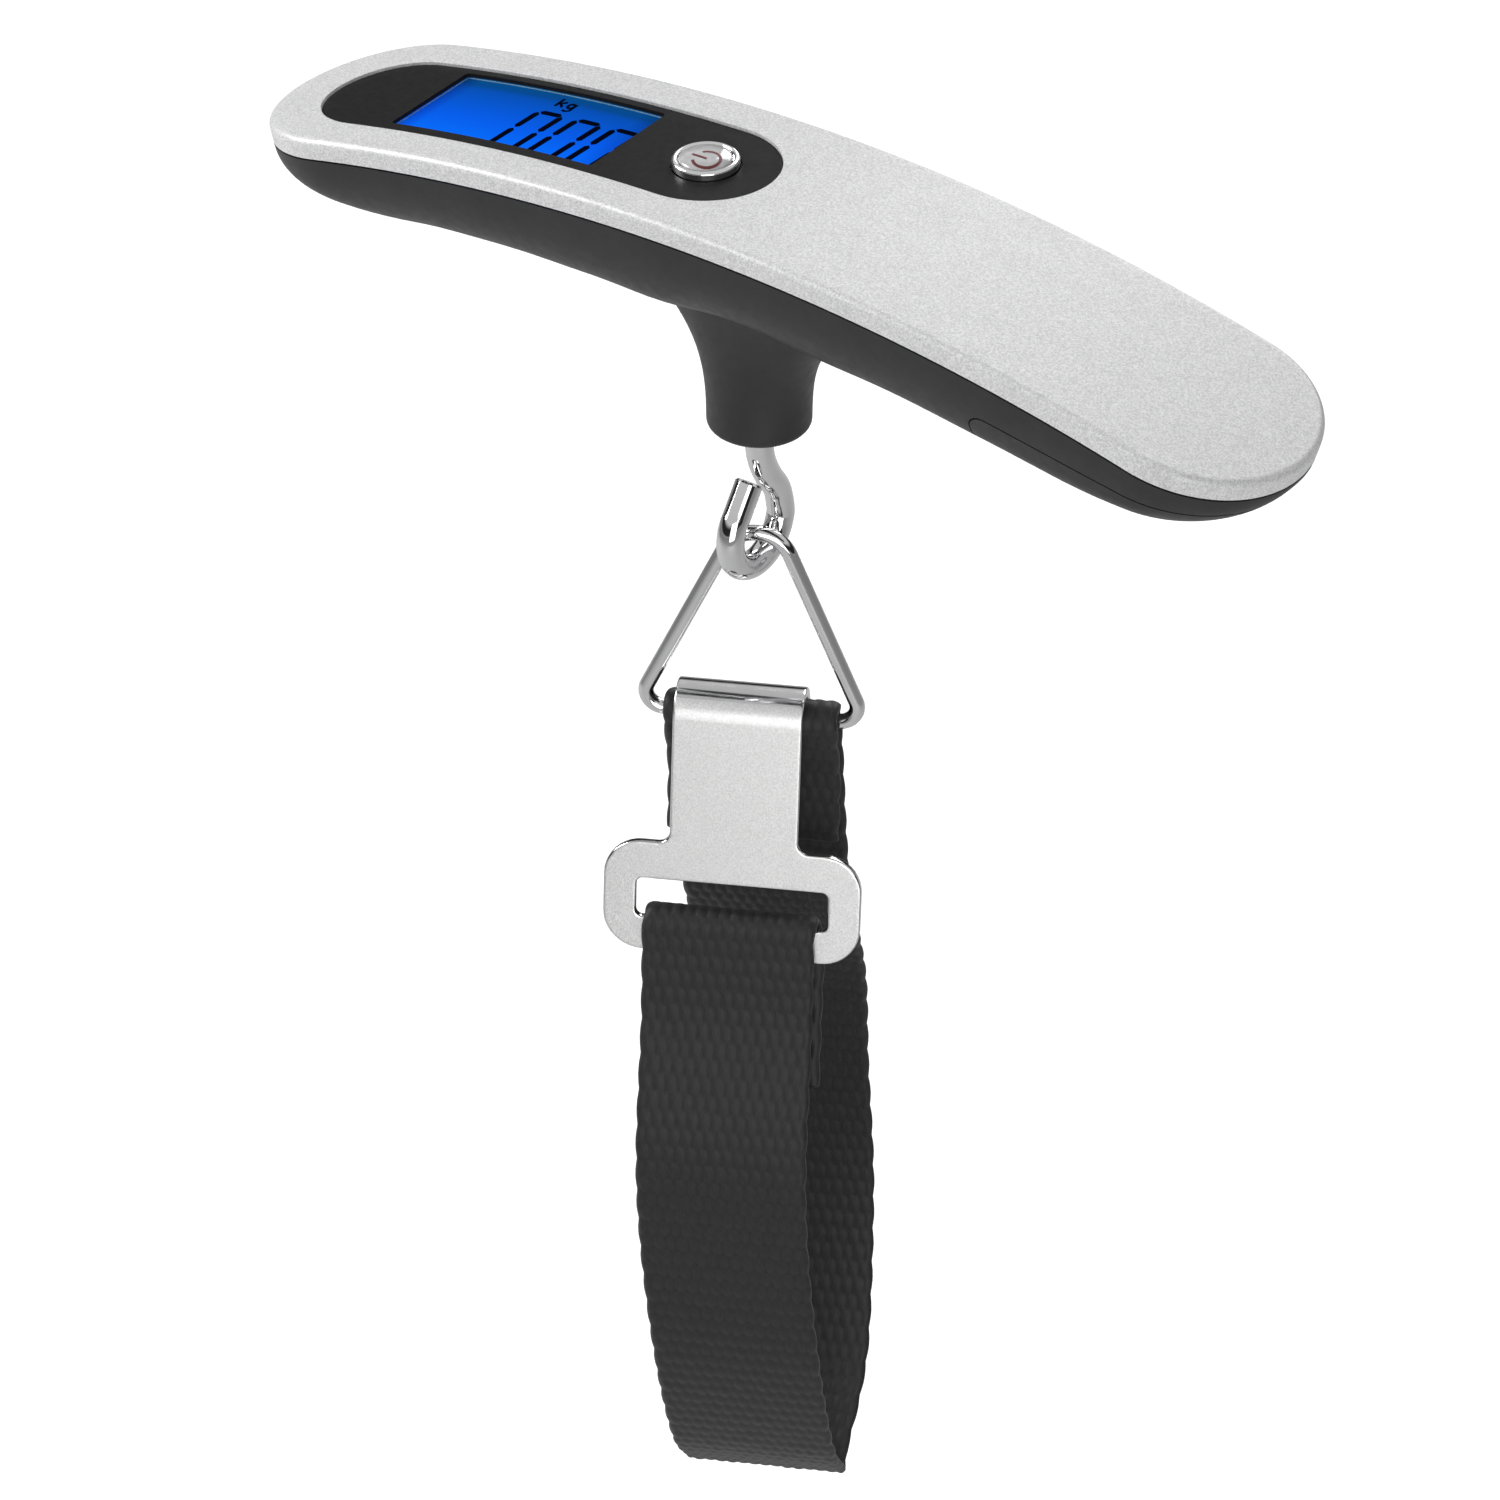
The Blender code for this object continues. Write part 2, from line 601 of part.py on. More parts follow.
def make_battery(body, materials):
    frame = on_arch(COIN_CENTRE)
    plate = rounded_box((-0.014, 0.0135), (-0.0125, 0.0125), 0.002)
    tray = add_object("battery_tray", slab([plate], -0.0051, -0.0039), frame, body, materials["chip"])
    wall = add_object("add_tray_wall", collar(0.0123, 0.0112, -0.0090, -0.0045, 32), frame)
    boolean(tray, wall, "UNION")
    coin = disc(COIN_RADIUS, -0.0062 - COIN_THICKNESS, -0.0062, 32)
    add_object("coin_cell", coin, frame, body, materials["steel"])
    leaf = block((-0.009, 0.007), (-0.0015, 0.0015), (-0.0058, -0.0054))
    add_object("contact_negative", leaf, frame, body, materials["gold"])
    clip = block((-0.01085, -0.01045), (-0.002, 0.002), (-0.0090, -0.0054))
    add_object("contact_positive", clip, frame, body, materials["gold"])


def make_shell_screws(body, material):
    turn = Matrix.Rotation(math.pi, 4, "X")
    for i, (u, v) in enumerate(SHELL_SCREWS, 1):
        place = on_arch(u, v) @ turn
        add_object(f"shell_screw_{i}", screw(0.0010, 0.0022, 0.0035, 0.0091), place, body, material)


# Hanging pieces


def eye_point(degrees):
    """A point on the hook's eye, by its angle from +Y towards +Z."""
    angle = math.radians(degrees)
    y, z = EYE_CENTRE
    return Vector((0, y + EYE_RADIUS * math.cos(angle), z + EYE_RADIUS * math.sin(angle)))


def make_hook(body, materials):
    shank = smooth_path(
        [
            (0, 0, BOSS_BOTTOM - 0.0035),
            (0, 0.0006, BOSS_BOTTOM - 0.0065),
            (0, 0.0021, BOSS_BOTTOM - 0.0097),
            (0, 0.0042, BOSS_BOTTOM - 0.0130),
            eye_point(0),
        ],
        3,
    )
    eye = [eye_point(-k * 15) for k in range(1, 16)]
    tip = [(0, -0.0023, BOSS_BOTTOM - 0.0086)]
    route = [(0, 0, SHANK_TOP)] + shank + eye + tip
    wire("hook", route, WIRE, body, materials["chrome"], sides=4)
    hexagon = lathe([(0, -0.0041), (0.00404, -0.0041), (0.00404, -0.0011), (0, -0.0011)], 6)
    nut = add_object("hook_nut", hexagon, None, body, materials["steel"])
    boolean(nut, add_object("cut_nut", disc(WIRE + GAP, -0.005, 0.0, 16)), "DIFFERENCE")


def ring_outline():
    """The ring's centre line: a triangle with rounded corners, drawn across and up."""
    half = RING_HALF_WIDTH
    peak = RING_APEX
    for _ in range(30):  # the sharp corner that, once rounded, has its top at the apex
        flank = math.atan2(half, peak - RING_BAR)
        peak = RING_APEX + RING_APEX_BEND * (1 / math.sin(flank) - 1)
    feet = [(side + RING_SHIFT, RING_BAR, RING_CORNER_BEND) for side in (-half, half)]
    return rounded(feet + [(0, peak, RING_APEX_BEND)], 7)


def make_ring(body, material):
    turn = Matrix.Rotation(HANG_YAW, 3, "Z")
    path = [turn @ Vector((x, 0, z)) for x, z in ring_outline()]
    wire("triangle_ring", path, RING_WIRE, body, material, cyclic=True, sides=3)


def plate_point(along, lift):
    """Maps a distance down the plate's face, and a height off it, to YZ: the plate curls over the bar."""
    middle = WEB_THICKNESS + RING_WIRE + 2 * GAP + PLATE_THICKNESS / 2
    tangent = math.pi - PLATE_LEAN
    if along > 0:
        angle, slide = tangent, along
    else:
        angle, slide = tangent + along / middle, 0.0
    reach = middle + lift
    y = reach * math.cos(angle) - slide * math.sin(PLATE_LEAN)
    z = reach * math.sin(angle) - slide * math.cos(PLATE_LEAN)
    return Vector((0, y, RING_BAR + z))


def make_buckle(body, material):
    middle = WEB_THICKNESS + RING_WIRE + 2 * GAP + PLATE_THICKNESS / 2
    curl = middle * (math.pi - PLATE_LEAN - PLATE_CURL_END)
    neck = PLATE_NECK / 2
    half = PLATE_WIDTH / 2
    shoulder = -PLATE_SHOULDER
    foot = -PLATE_LENGTH
    left = [(-neck, curl, 0.0015), (-neck, shoulder, 0.0017), (-half, shoulder, 0.0055), (-half, foot, 0.0058)]
    right = [(-x, y, bend_radius) for x, y, bend_radius in reversed(left)]
    outline = rounded(left + right)
    slot_half = PLATE_SLOT[0] / 2
    slot_low = foot + PLATE_LOWER_BAR
    slot_high = slot_low + PLATE_SLOT[1]
    slot = rounded_box((-slot_half, slot_half), (slot_low, slot_high), 0.001)
    shape = slab([outline, slot], -PLATE_THICKNESS / 2, PLATE_THICKNESS / 2)
    steps = 14
    for k in range(steps):
        whole = list(shape.verts) + list(shape.edges) + list(shape.faces)
        height = (0, curl * k / steps, 0)
        bmesh.ops.bisect_plane(shape, geom=whole, dist=1e-6, plane_co=height, plane_no=(0, 1, 0))
    bmesh.ops.triangulate(shape, faces=shape.faces)
    for vert in shape.verts:
        point = plate_point(-vert.co.y, vert.co.z)
        vert.co = Vector((vert.co.x + PLATE_SHIFT, point.y, point.z))
    finish_shape(shape)
    add_object("buckle_plate", shape, Matrix.Rotation(HANG_YAW, 4, "Z"), body, material)


def rear_leg_path():
    """The rear ply, with its x along the bar: it wraps the ring's bar and runs down to the loop's fold."""
    radius = RING_WIRE + GAP + WEB_THICKNESS / 2
    folded = [(-0.0009, 0.0001, -0.021), (-0.0009, 0.0001, -0.010), (-0.0011, -0.0006, -0.006)]
    eye = []
    for k in range(9):
        angle = math.radians(190 - 190 * k / 8)
        eye.append((-0.0012, radius * math.cos(angle), radius * math.sin(angle)))
    down = [
        (-0.0008, 0.0022, RING_BAR - 0.006),
        (0, 0.0026, RING_BAR - 0.020),
        (0.0005, 0.0062, BOSS_BOTTOM - 0.084),
        (0.0007, 0.0190, BOSS_BOTTOM - 0.108),
        (0.0008, 0.0230, BOSS_BOTTOM - 0.128),
        (0.0026, 0.0208, BOSS_BOTTOM - 0.152),
        (0.0030, 0.0120, BOSS_BOTTOM - 0.176),
        (LOOP_SHIFT, WEB_THICKNESS / 2 + GAP / 2, LOOP_BOTTOM),
    ]
    return [Vector((x, y, RING_BAR + z)) for x, y, z in folded + eye] + smooth_path(down, 3)


def front_leg_path():
    """The front ply wraps the plate's lower bar, and its folded end lies behind it."""
    bar = plate_point(PLATE_LENGTH - PLATE_LOWER_BAR / 2, 0.0)
    half_bar = PLATE_LOWER_BAR / 2
    offset = PLATE_THICKNESS / 2 + GAP + WEB_THICKNESS / 2
    top = bar.z + half_bar + GAP + WEB_THICKNESS / 2
    lean = math.tan(PLATE_LEAN)
    front = bar.y - offset
    back = bar.y + offset
    foot = bar.z - half_bar
    down = [
        (PLATE_SHIFT, front - half_bar * lean, foot),
        (PLATE_SHIFT, front - 0.0030, foot - 0.010),
        (PLATE_SHIFT, -0.0222, BOSS_BOTTOM - 0.112),
        (-0.0019, -0.0230, BOSS_BOTTOM - 0.128),
        (0, -0.0208, BOSS_BOTTOM - 0.152),
        (0.0008, -0.0120, BOSS_BOTTOM - 0.176),
        (LOOP_SHIFT, -WEB_THICKNESS / 2 - GAP / 2, LOOP_BOTTOM),
    ]
    around = [
        (front - 0.0030 + WEB_THICKNESS + 2 * GAP, foot - 0.012),
        (back - half_bar * lean, foot),
        (back + half_bar * lean, bar.z + half_bar),
        (bar.y + 0.0008, top),
        (bar.y - 0.0002, top),
        (front + half_bar * lean, bar.z + half_bar),
    ]
    return [Vector((PLATE_SHIFT, y, z)) for y, z in around] + smooth_path(down, 3)


def make_webbing(rear_body, front_body, material):
    turn = Matrix.Rotation(HANG_YAW, 4, "Z")
    rear = ribbon(rear_leg_path(), WEB_THICKNESS, WEB_WIDTH)
    add_object("strap_rear_leg", rear, turn, rear_body, material)
    front = ribbon(front_leg_path(), WEB_THICKNESS, WEB_WIDTH)
    add_object("strap_front_leg", front, turn, front_body, material)


def make_materials():
    return {
        "silver": principled("silver_paint", (0.62, 0.62, 0.63), 0.38, 0.6),
        "black": principled("soft_black", (0.022, 0.022, 0.024), 0.55),
        "window": principled("dark_window", (0.012, 0.012, 0.013), 0.25),
        "lcd": principled("blue_lcd", (0.01, 0.10, 0.85), 0.2),
        "backlight": principled("light_guide", (0.75, 0.85, 0.95), 0.4),
        "rubber": principled("contact_rubber", (0.35, 0.16, 0.10), 0.7),
        "white_plastic": principled("white_plastic", (0.78, 0.78, 0.75), 0.45),
        "board": principled("circuit_board", (0.02, 0.16, 0.06), 0.45),
        "chip": principled("black_plastic", (0.02, 0.02, 0.02), 0.5),
        "lead": principled("white_lead", (0.7, 0.7, 0.7), 0.5),
        "red_lead": principled("red_lead", (0.6, 0.02, 0.02), 0.5),
        "chrome": principled("chrome", (0.80, 0.80, 0.82), 0.08, 1.0),
        "clear": principled("clear_button", (0.80, 0.74, 0.75), 0.1),
        "aluminium": principled("aluminium", (0.77, 0.78, 0.79), 0.35, 1.0),
        "film": principled("gauge_film", (0.55, 0.35, 0.10), 0.5),
        "steel": principled("steel", (0.58, 0.58, 0.58), 0.3, 1.0),
        "gold": principled("gilt_contact", (0.85, 0.62, 0.25), 0.3, 1.0),
        "nickel": principled("satin_nickel", (0.62, 0.61, 0.59), 0.32, 1.0),
        "webbing": principled("black_webbing", (0.02, 0.02, 0.021), 0.85),
    }


def main():
    clear_scene()
    materials = make_materials()
    handle = joint_empty("luggage_scale", (0, 0, 0))
    button = joint_empty("button_axis", bend(BUTTON_CENTRE, 0, 0), handle)
    door = joint_empty("door_track", bend(DOOR_EDGE, 0, DOOR_SEAM_DEPTH), handle)
    hook = joint_empty("hook_axis", (0, 0, BOSS_BOTTOM), handle)
    ring = joint_empty("ring_axis", (0, EYE_CENTRE[0], EYE_CENTRE[1] - EYE_RADIUS), hook)
    strap = joint_empty("strap_axis", (0, 0, RING_BAR), ring)
    buckle = joint_empty("buckle_axis", (0, 0, RING_BAR), strap)
    make_top_cover(handle, materials["silver"])
    make_bottom_shell(handle, materials["black"])
    make_display(handle, materials)
    make_electronics(handle, materials)
    make_load_cell(handle, materials)
    make_battery(handle, materials)
    make_shell_screws(handle, materials["steel"])
    make_button(button, materials)
    make_battery_door(door, materials["black"])
    make_hook(hook, materials)
    make_ring(ring, materials["chrome"])
    make_buckle(buckle, materials["nickel"])
    make_webbing(strap, buckle, materials["webbing"])


main()
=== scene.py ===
"""The looks of a hanging luggage scale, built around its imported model.

Units are metres. +X runs along the handle towards the battery end, and -Y faces the reader.
Along the arched handle, u is the arc length from the apex, v the distance across, and depth the
distance below the top face. The ring, the buckle plate and the webbing hang in a frame that is
turned about Z by HANG_YAW.
"""

import math

import bmesh
import bpy
import numpy as np
from mathutils import Matrix, Vector


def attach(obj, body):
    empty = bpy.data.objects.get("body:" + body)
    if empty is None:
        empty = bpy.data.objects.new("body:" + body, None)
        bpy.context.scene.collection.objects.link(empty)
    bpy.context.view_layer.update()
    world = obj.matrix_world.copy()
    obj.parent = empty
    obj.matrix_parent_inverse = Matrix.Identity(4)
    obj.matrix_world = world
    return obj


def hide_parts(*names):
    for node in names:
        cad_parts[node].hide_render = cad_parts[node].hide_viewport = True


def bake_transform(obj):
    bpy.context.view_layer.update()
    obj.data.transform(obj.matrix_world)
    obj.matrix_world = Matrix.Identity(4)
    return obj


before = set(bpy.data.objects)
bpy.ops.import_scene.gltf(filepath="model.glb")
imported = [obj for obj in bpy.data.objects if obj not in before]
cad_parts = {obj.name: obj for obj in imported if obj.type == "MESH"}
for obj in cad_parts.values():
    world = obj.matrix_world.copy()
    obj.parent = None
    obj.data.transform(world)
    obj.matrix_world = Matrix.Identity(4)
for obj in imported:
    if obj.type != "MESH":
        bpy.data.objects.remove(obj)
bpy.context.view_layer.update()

GAP = 0.0003

# Handle
ARCH_RADIUS = 0.297
ARCH_APEX_X = 0.0031
HANDLE_LENGTH = 0.1706
HANDLE_WIDTH = 0.0341
HANDLE_END = 0.0165
COVER_RIM = 0.0029
WALL = 0.0018
BELLY_DEPTH = 0.0141
BELLY_TAPER = 0.017
BELLY_DISPLAY_END = 0.0293
BELLY_BATTERY_END = 0.036
BELLY_END_POWER = 1.73
BELLY_SECTION_POWER = 2.48
BELLY_SWELLS = (  # (u, extra depth, spread): the belly is fuller beside the boss
    (-0.026, 0.0008, 0.010),
    (-0.012, 0.0015, 0.009),
    (0.016, 0.0006, 0.010),
    (0.052, -0.0005, 0.008),
    (-0.055, -0.0006, 0.009),
)
BOSS_BOTTOM = -0.0357
BOSS_RADIUS = 0.00736
BOSS_TOP = -0.0122
BOSS_FILLET = 0.0011
WINDOW_CENTRE = -0.0395
WINDOW_LENGTH = 0.0757
WINDOW_WIDTH = 0.0209
WINDOW_END = 0.0108
WINDOW_TOP = 0.0004
SCREEN = (-0.0433, 0.0005, 0.0353, 0.0172)
BUTTON_CENTRE = -0.0121
DOOR_EDGE = 0.044
DOOR_SEAM_DEPTH = 0.0085
DOOR_CORNER = 0.0025
SHELL_SCREWS = ((-0.074, 0.0), (0.008, -0.0108), (0.008, 0.0108), (0.0365, 0.0))

# Hook, ring and buckle plate
WIRE = 0.002
EYE_CENTRE = (-0.00085, BOSS_BOTTOM - 0.01665)
EYE_RADIUS = 0.00595
RING_WIRE = 0.001125
RING_APEX = EYE_CENTRE[1] - EYE_RADIUS + WIRE + 4 * GAP + RING_WIRE
RING_BAR = BOSS_BOTTOM - 0.0493
RING_HALF_WIDTH = 0.0166
RING_SHIFT = -0.0012  # the bar's middle, along the ring, from the swivel axis
RING_APEX_BEND = 0.005
RING_CORNER_BEND = 0.0027
HANG_YAW = math.radians(27.5)
PLATE_THICKNESS = 0.0013
PLATE_LEAN = math.radians(11.6)
PLATE_CURL_END = math.radians(-20.0)
PLATE_NECK = 0.0186
PLATE_WIDTH = 0.0374
PLATE_SHOULDER = 0.0194
PLATE_LENGTH = 0.0365
PLATE_SLOT = (0.0279, 0.0061)
PLATE_LOWER_BAR = 0.0052
PLATE_SHIFT = -0.0025  # the plate has slid along the ring's bar

# Webbing
WEB_WIDTH = 0.025
WEB_THICKNESS = 0.0015
LOOP_BOTTOM = BOSS_BOTTOM - 0.190
LOOP_SHIFT = 0.0010
WEAVE_COLUMN = WEB_WIDTH / 14.5
WEAVE_ROW = 0.0027
SAMPLES = 6  # mesh rows and columns in one step of the weave
LOOP_REACH = 0.0230  # how far the loop bows out, half way down
FRONT_BOW = 0.0222  # the front ply's reach, a little below the sewn end
PLY_STEP = 0.0030  # how far the front ply steps forward below the plate's lower bar


# Materials


class Surface:
    """A Principled material with a noise coordinate in metres, for colour, roughness and bump."""

    def __init__(self, name, base, roughness, metallic=0.0, attribute=None):
        self.material = bpy.data.materials.new(name)
        self.material.use_nodes = True
        self.nodes = self.material.node_tree.nodes
        self.links = self.material.node_tree.links
        self.shader = self.nodes["Principled BSDF"]
        self.base = base
        self.shader.inputs["Base Color"].default_value = (*base, 1)
        self.shader.inputs["Roughness"].default_value = roughness
        self.shader.inputs["Metallic"].default_value = metallic
        if attribute:
            source = self.nodes.new("ShaderNodeAttribute")
            source.attribute_name = attribute
            self.coordinate = source.outputs["Vector"]
        else:
            self.coordinate = self.nodes.new("ShaderNodeTexCoord").outputs["Object"]

    def set(self, **values):
        for name, value in values.items():
            self.shader.inputs[name.replace("_", " ")].default_value = value
        return self

    def texture(self, kind, scale):
        mapping = self.nodes.new("ShaderNodeMapping")
        mapping.inputs["Scale"].default_value = scale
        self.links.new(self.coordinate, mapping.inputs["Vector"])
        texture = self.nodes.new(kind)
        texture.inputs["Scale"].default_value = 1.0
        self.links.new(mapping.outputs["Vector"], texture.inputs["Vector"])
        return texture

    def noise(self, size, stretch=(1, 1, 1), detail=3.0):
        """A noise whose features are about size across, drawn out along each axis by stretch."""
        noise = self.texture("ShaderNodeTexNoise", [1 / (size * s) for s in stretch])
        noise.inputs["Detail"].default_value = detail
        return noise.outputs["Fac"]

    def cells(self, size):
        """A grey value that is constant in each small cell."""
        cells = self.texture("ShaderNodeTexVoronoi", [1 / size] * 3)
        parts = self.nodes.new("ShaderNodeSeparateColor")
        self.links.new(cells.outputs["Color"], parts.inputs["Color"])
        return parts.outputs["Red"]

    def ramp(self, factor, stops):
        ramp = self.nodes.new("ShaderNodeValToRGB")
        elements = ramp.color_ramp.elements
        elements[0].position, elements[0].color = stops[0][0], (*stops[0][1], 1)
        elements[1].position, elements[1].color = stops[-1][0], (*stops[-1][1], 1)
        for position, colour in stops[1:-1]:
            elements.new(position).color = (*colour, 1)
        self.links.new(factor, ramp.inputs["Fac"])
        return ramp.outputs["Color"]

    def tint(self, factor, low, high, start=0.3, end=0.7):
        """Scales the base colour by low to high as the factor goes from start to end."""
        shades = [tuple(min(c * k, 1.0) for c in self.base) for k in (low, high)]
        colour = self.ramp(factor, [(start, shades[0]), (end, shades[1])])
        self.links.new(colour, self.shader.inputs["Base Color"])
        return self

    def spread(self, factor, start, end, low=0.0, high=1.0):
        """Maps a factor's start to end onto low to high."""
        spread = self.nodes.new("ShaderNodeMapRange")
        for name, value in (("From Min", start), ("From Max", end), ("To Min", low), ("To Max", high)):
            spread.inputs[name].default_value = value
        self.links.new(factor, spread.inputs["Value"])
        return spread.outputs["Result"]

    def multiply(self, one, other):
        """The product of two colours."""
        mix = self.nodes.new("ShaderNodeMix")
        mix.data_type = "RGBA"
        mix.blend_type = "MULTIPLY"
        mix.inputs["Factor"].default_value = 1.0
        self.links.new(one, mix.inputs[6])
        self.links.new(other, mix.inputs[7])
        return mix.outputs[2]

    def gloss(self, factor, low, high):
        self.links.new(self.spread(factor, 0.3, 0.7, low, high), self.shader.inputs["Roughness"])
        return self

    def bump(self, factor, height, strength=1.0):
        bump = self.nodes.new("ShaderNodeBump")
        bump.inputs["Strength"].default_value = strength
        bump.inputs["Distance"].default_value = height
        before = self.shader.inputs["Normal"].links
        if before:
            self.links.new(before[0].from_socket, bump.inputs["Normal"])
        self.links.new(factor, bump.inputs["Height"])
        self.links.new(bump.outputs["Normal"], self.shader.inputs["Normal"])
        return self


def silver_paint():
    s = Surface("silver_paint_flake", (0.54, 0.54, 0.545), 0.45, 0.10)
    s.tint(s.cells(0.00018), 0.80, 1.22, 0.0, 1.0)
    s.gloss(s.noise(0.004), 0.37, 0.46)
    s.bump(s.noise(0.00012, detail=1.0), 0.00001, 0.5)
    return s.material


def soft_black():
    s = Surface("soft_touch_black", (0.015, 0.015, 0.016), 0.46)
    s.set(Specular_IOR_Level=0.52)
    s.tint(s.noise(0.009), 0.85, 1.2)
    s.gloss(s.noise(0.0014), 0.40, 0.50)
    s.bump(s.noise(0.00022), 0.000018, 0.6)
    return s.material


def window_black():
    s = Surface("smoked_window", (0.009, 0.009, 0.009), 0.5)
    s.set(Specular_IOR_Level=0.10)
    s.tint(s.noise(0.0008), 0.8, 1.25)
    s.gloss(s.noise(0.003), 0.42, 0.55)
    s.bump(s.noise(0.00018), 0.00001, 0.5)
    return s.material


def chrome(name, base=0.80, roughness=0.06):
    s = Surface(name, (base, base, base * 1.01), roughness, 1.0)
    s.tint(s.noise(0.006), 0.95, 1.03)
    s.gloss(s.noise(0.0016), roughness * 0.7, roughness * 1.7)
    s.bump(s.noise(0.0028), 0.00002, 0.25)
    return s.material


def satin_nickel():
    s = Surface("satin_nickel_plate", (0.90, 0.895, 0.89), 0.36, 1.0)
    s.tint(s.noise(0.00022), 0.82, 1.15)
    s.gloss(s.noise(0.0006), 0.30, 0.42)
    s.bump(s.noise(0.00014), 0.000014, 0.8)
    return s.material


def webbing_fibre():
    s = Surface("black_webbing_fibre", (0.010, 0.010, 0.0105), 0.55, attribute="weave")
    s.set(Sheen_Weight=0.05, Sheen_Roughness=0.45, Specular_IOR_Level=0.45)
    height = s.nodes.new("ShaderNodeSeparateXYZ")
    s.links.new(s.coordinate, height.inputs["Vector"])
    # Painted shade: the colour is darkened to 0.12 in the weave's low valleys and kept full on the raised
    # knuckles, following the yarns' lift in the weave attribute.
    valley_shade_greys = [(position, (grey,) * 3) for position, grey in ((0.0, 0.12), (0.35, 0.4), (0.85, 1.0))]
    shade = s.ramp(s.spread(height.outputs["Z"], 0.0, 0.00026), valley_shade_greys)
    streak = s.noise(0.00011, (1, 9, 1), 2.0)
    shades = [tuple(c * k for c in s.base) for k in (0.7, 1.5)]
    colour = s.ramp(streak, [(0.35, shades[0]), (0.7, shades[1])])
    s.links.new(s.multiply(shade, colour), s.shader.inputs["Base Color"])
    s.bump(streak, 0.00005, 0.8)
    return s.material


def thread(name, base):
    s = Surface(name, base, 0.7)
    s.set(Sheen_Weight=0.3)
    s.tint(s.noise(0.0003), 0.75, 1.3)
    s.bump(s.noise(0.00012), 0.00003, 0.6)
    return s.material


def screen_glow():
    """The lit display: deep blue, brighter near its lower left, greener and darker at the far rim."""
    s = Surface("blue_backlit_screen", (0.002, 0.006, 0.02), 0.3)
    s.set(Specular_IOR_Level=0.0, Emission_Strength=1.0)
    split = s.nodes.new("ShaderNodeSeparateXYZ")
    s.links.new(s.coordinate, split.inputs["Vector"])
    across = s.spread(split.outputs["Y"], -0.0081, 0.0091)
    along = s.spread(split.outputs["X"], -0.0575, -0.0222)
    main = s.ramp(across, [  # from the near edge to the far one
        (0.0, (0.0, 0.15, 0.95)), (0.35, (0.0, 0.105, 0.80)), (0.82, (0.0, 0.075, 0.45)),
        (0.90, (0.0, 0.06, 0.26)), (1.0, (0.0, 0.07, 0.22)),
    ])
    side = s.ramp(along, [
        (0.0, (0.35, 0.5, 0.6)), (0.035, (0.5, 0.62, 0.75)), (0.09, (1.0, 1.0, 1.0)),
        (0.90, (1.0, 0.96, 1.0)), (1.0, (0.5, 0.6, 0.72)),
    ])
    s.links.new(s.multiply(main, side), s.shader.inputs["Emission Color"])
    return s.material


def plain(name, base, roughness, metallic=0.0, size=0.002, **values):
    """A moulded, turned or drawn finish with slight mottling and a fine grain."""
    s = Surface(name, base, roughness, metallic)
    s.set(**values)
    s.tint(s.noise(size), 0.86, 1.12)
    s.gloss(s.noise(size * 0.4), roughness * 0.8, roughness * 1.2)
    s.bump(s.noise(size * 0.12), size * 0.006, 0.5)
    return s.material


# Shapes


def add_piece(name, shape, material, matrix=None, angle=30.0):
    """A mesh piece from a bmesh, smooth but for edges sharper than the angle."""
    mesh = bpy.data.meshes.new(name)
    bmesh.ops.recalc_face_normals(shape, faces=shape.faces)
    shape.to_mesh(mesh)
    shape.free()
    if matrix:
        mesh.transform(matrix)
    mesh.materials.append(material)
    mesh.shade_smooth()
    mesh.set_sharp_from_angle(angle=math.radians(angle))
    piece = bpy.data.objects.new(name, mesh)
    bpy.context.scene.collection.objects.link(piece)
    return piece


def stand_in(piece, body, nodes):
    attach(piece, body)
    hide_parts(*nodes)
    return piece


def boolean(piece, tool, operation):
    """Joins, cuts or intersects a piece with a helper, which is then removed."""
    modifier = piece.modifiers.new("shape", "BOOLEAN")
    modifier.operation = operation
    modifier.solver = "EXACT"
    modifier.object = tool
    graph = bpy.context.evaluated_depsgraph_get()
    made = bpy.data.meshes.new_from_object(piece.evaluated_get(graph))
    piece.modifiers.clear()
    old = piece.data
    piece.data = made
    bpy.data.meshes.remove(old)
    bpy.data.objects.remove(tool)
    return piece


def helper(shape, matrix=None):
    return add_piece("helper", shape, HELPER, matrix)


def lathe(profile, segments=24):
    """A solid turned about Z from a closed outline of (radius, height) points."""
    shape = bmesh.new()
    verts = [shape.verts.new((radius, 0.0, height)) for radius, height in profile]
    edges = [shape.edges.new((a, b)) for a, b in zip(verts, verts[1:] + verts[:1])]
    bmesh.ops.spin(
        shape, geom=verts + edges, cent=(0, 0, 0), axis=(0, 0, 1), angle=2 * math.pi,
        steps=segments, use_merge=True, use_duplicate=False,
    )
    bmesh.ops.remove_doubles(shape, verts=shape.verts, dist=1e-7)
    wires = [edge for edge in shape.edges if not edge.link_faces]
    bmesh.ops.delete(shape, geom=wires, context="EDGES")
    return shape


def disc(radius, low, high, segments=32):
    return lathe([(0, low), (radius, low), (radius, high), (0, high)], segments)


def rounded(corners, steps=10):
    """A closed outline through (x, y, radius) corners, each rounded by its radius."""
    points = []
    for i, (x, y, radius) in enumerate(corners):
        corner = Vector((x, y))
        before = Vector(corners[i - 1][:2])
        after = Vector(corners[(i + 1) % len(corners)][:2])
        to_before = (before - corner).normalized()
        to_after = (after - corner).normalized()
        half = to_before.angle(to_after) / 2
        if radius == 0 or half > math.radians(89):
            points.append((x, y))
            continue
        middle = corner + (to_before + to_after).normalized() * (radius / math.sin(half))
        start = corner + to_before * (radius / math.tan(half)) - middle
        end = corner + to_after * (radius / math.tan(half)) - middle
        for k in range(steps + 1):
            arm = start.normalized().slerp(end.normalized(), k / steps)
            points.append(tuple(middle + arm * radius))
    return points


def rounded_box(across, along, radius, steps=6):
    (x0, x1), (y0, y1) = across, along
    return rounded([(x0, y0, radius), (x1, y0, radius), (x1, y1, radius), (x0, y1, radius)], steps)


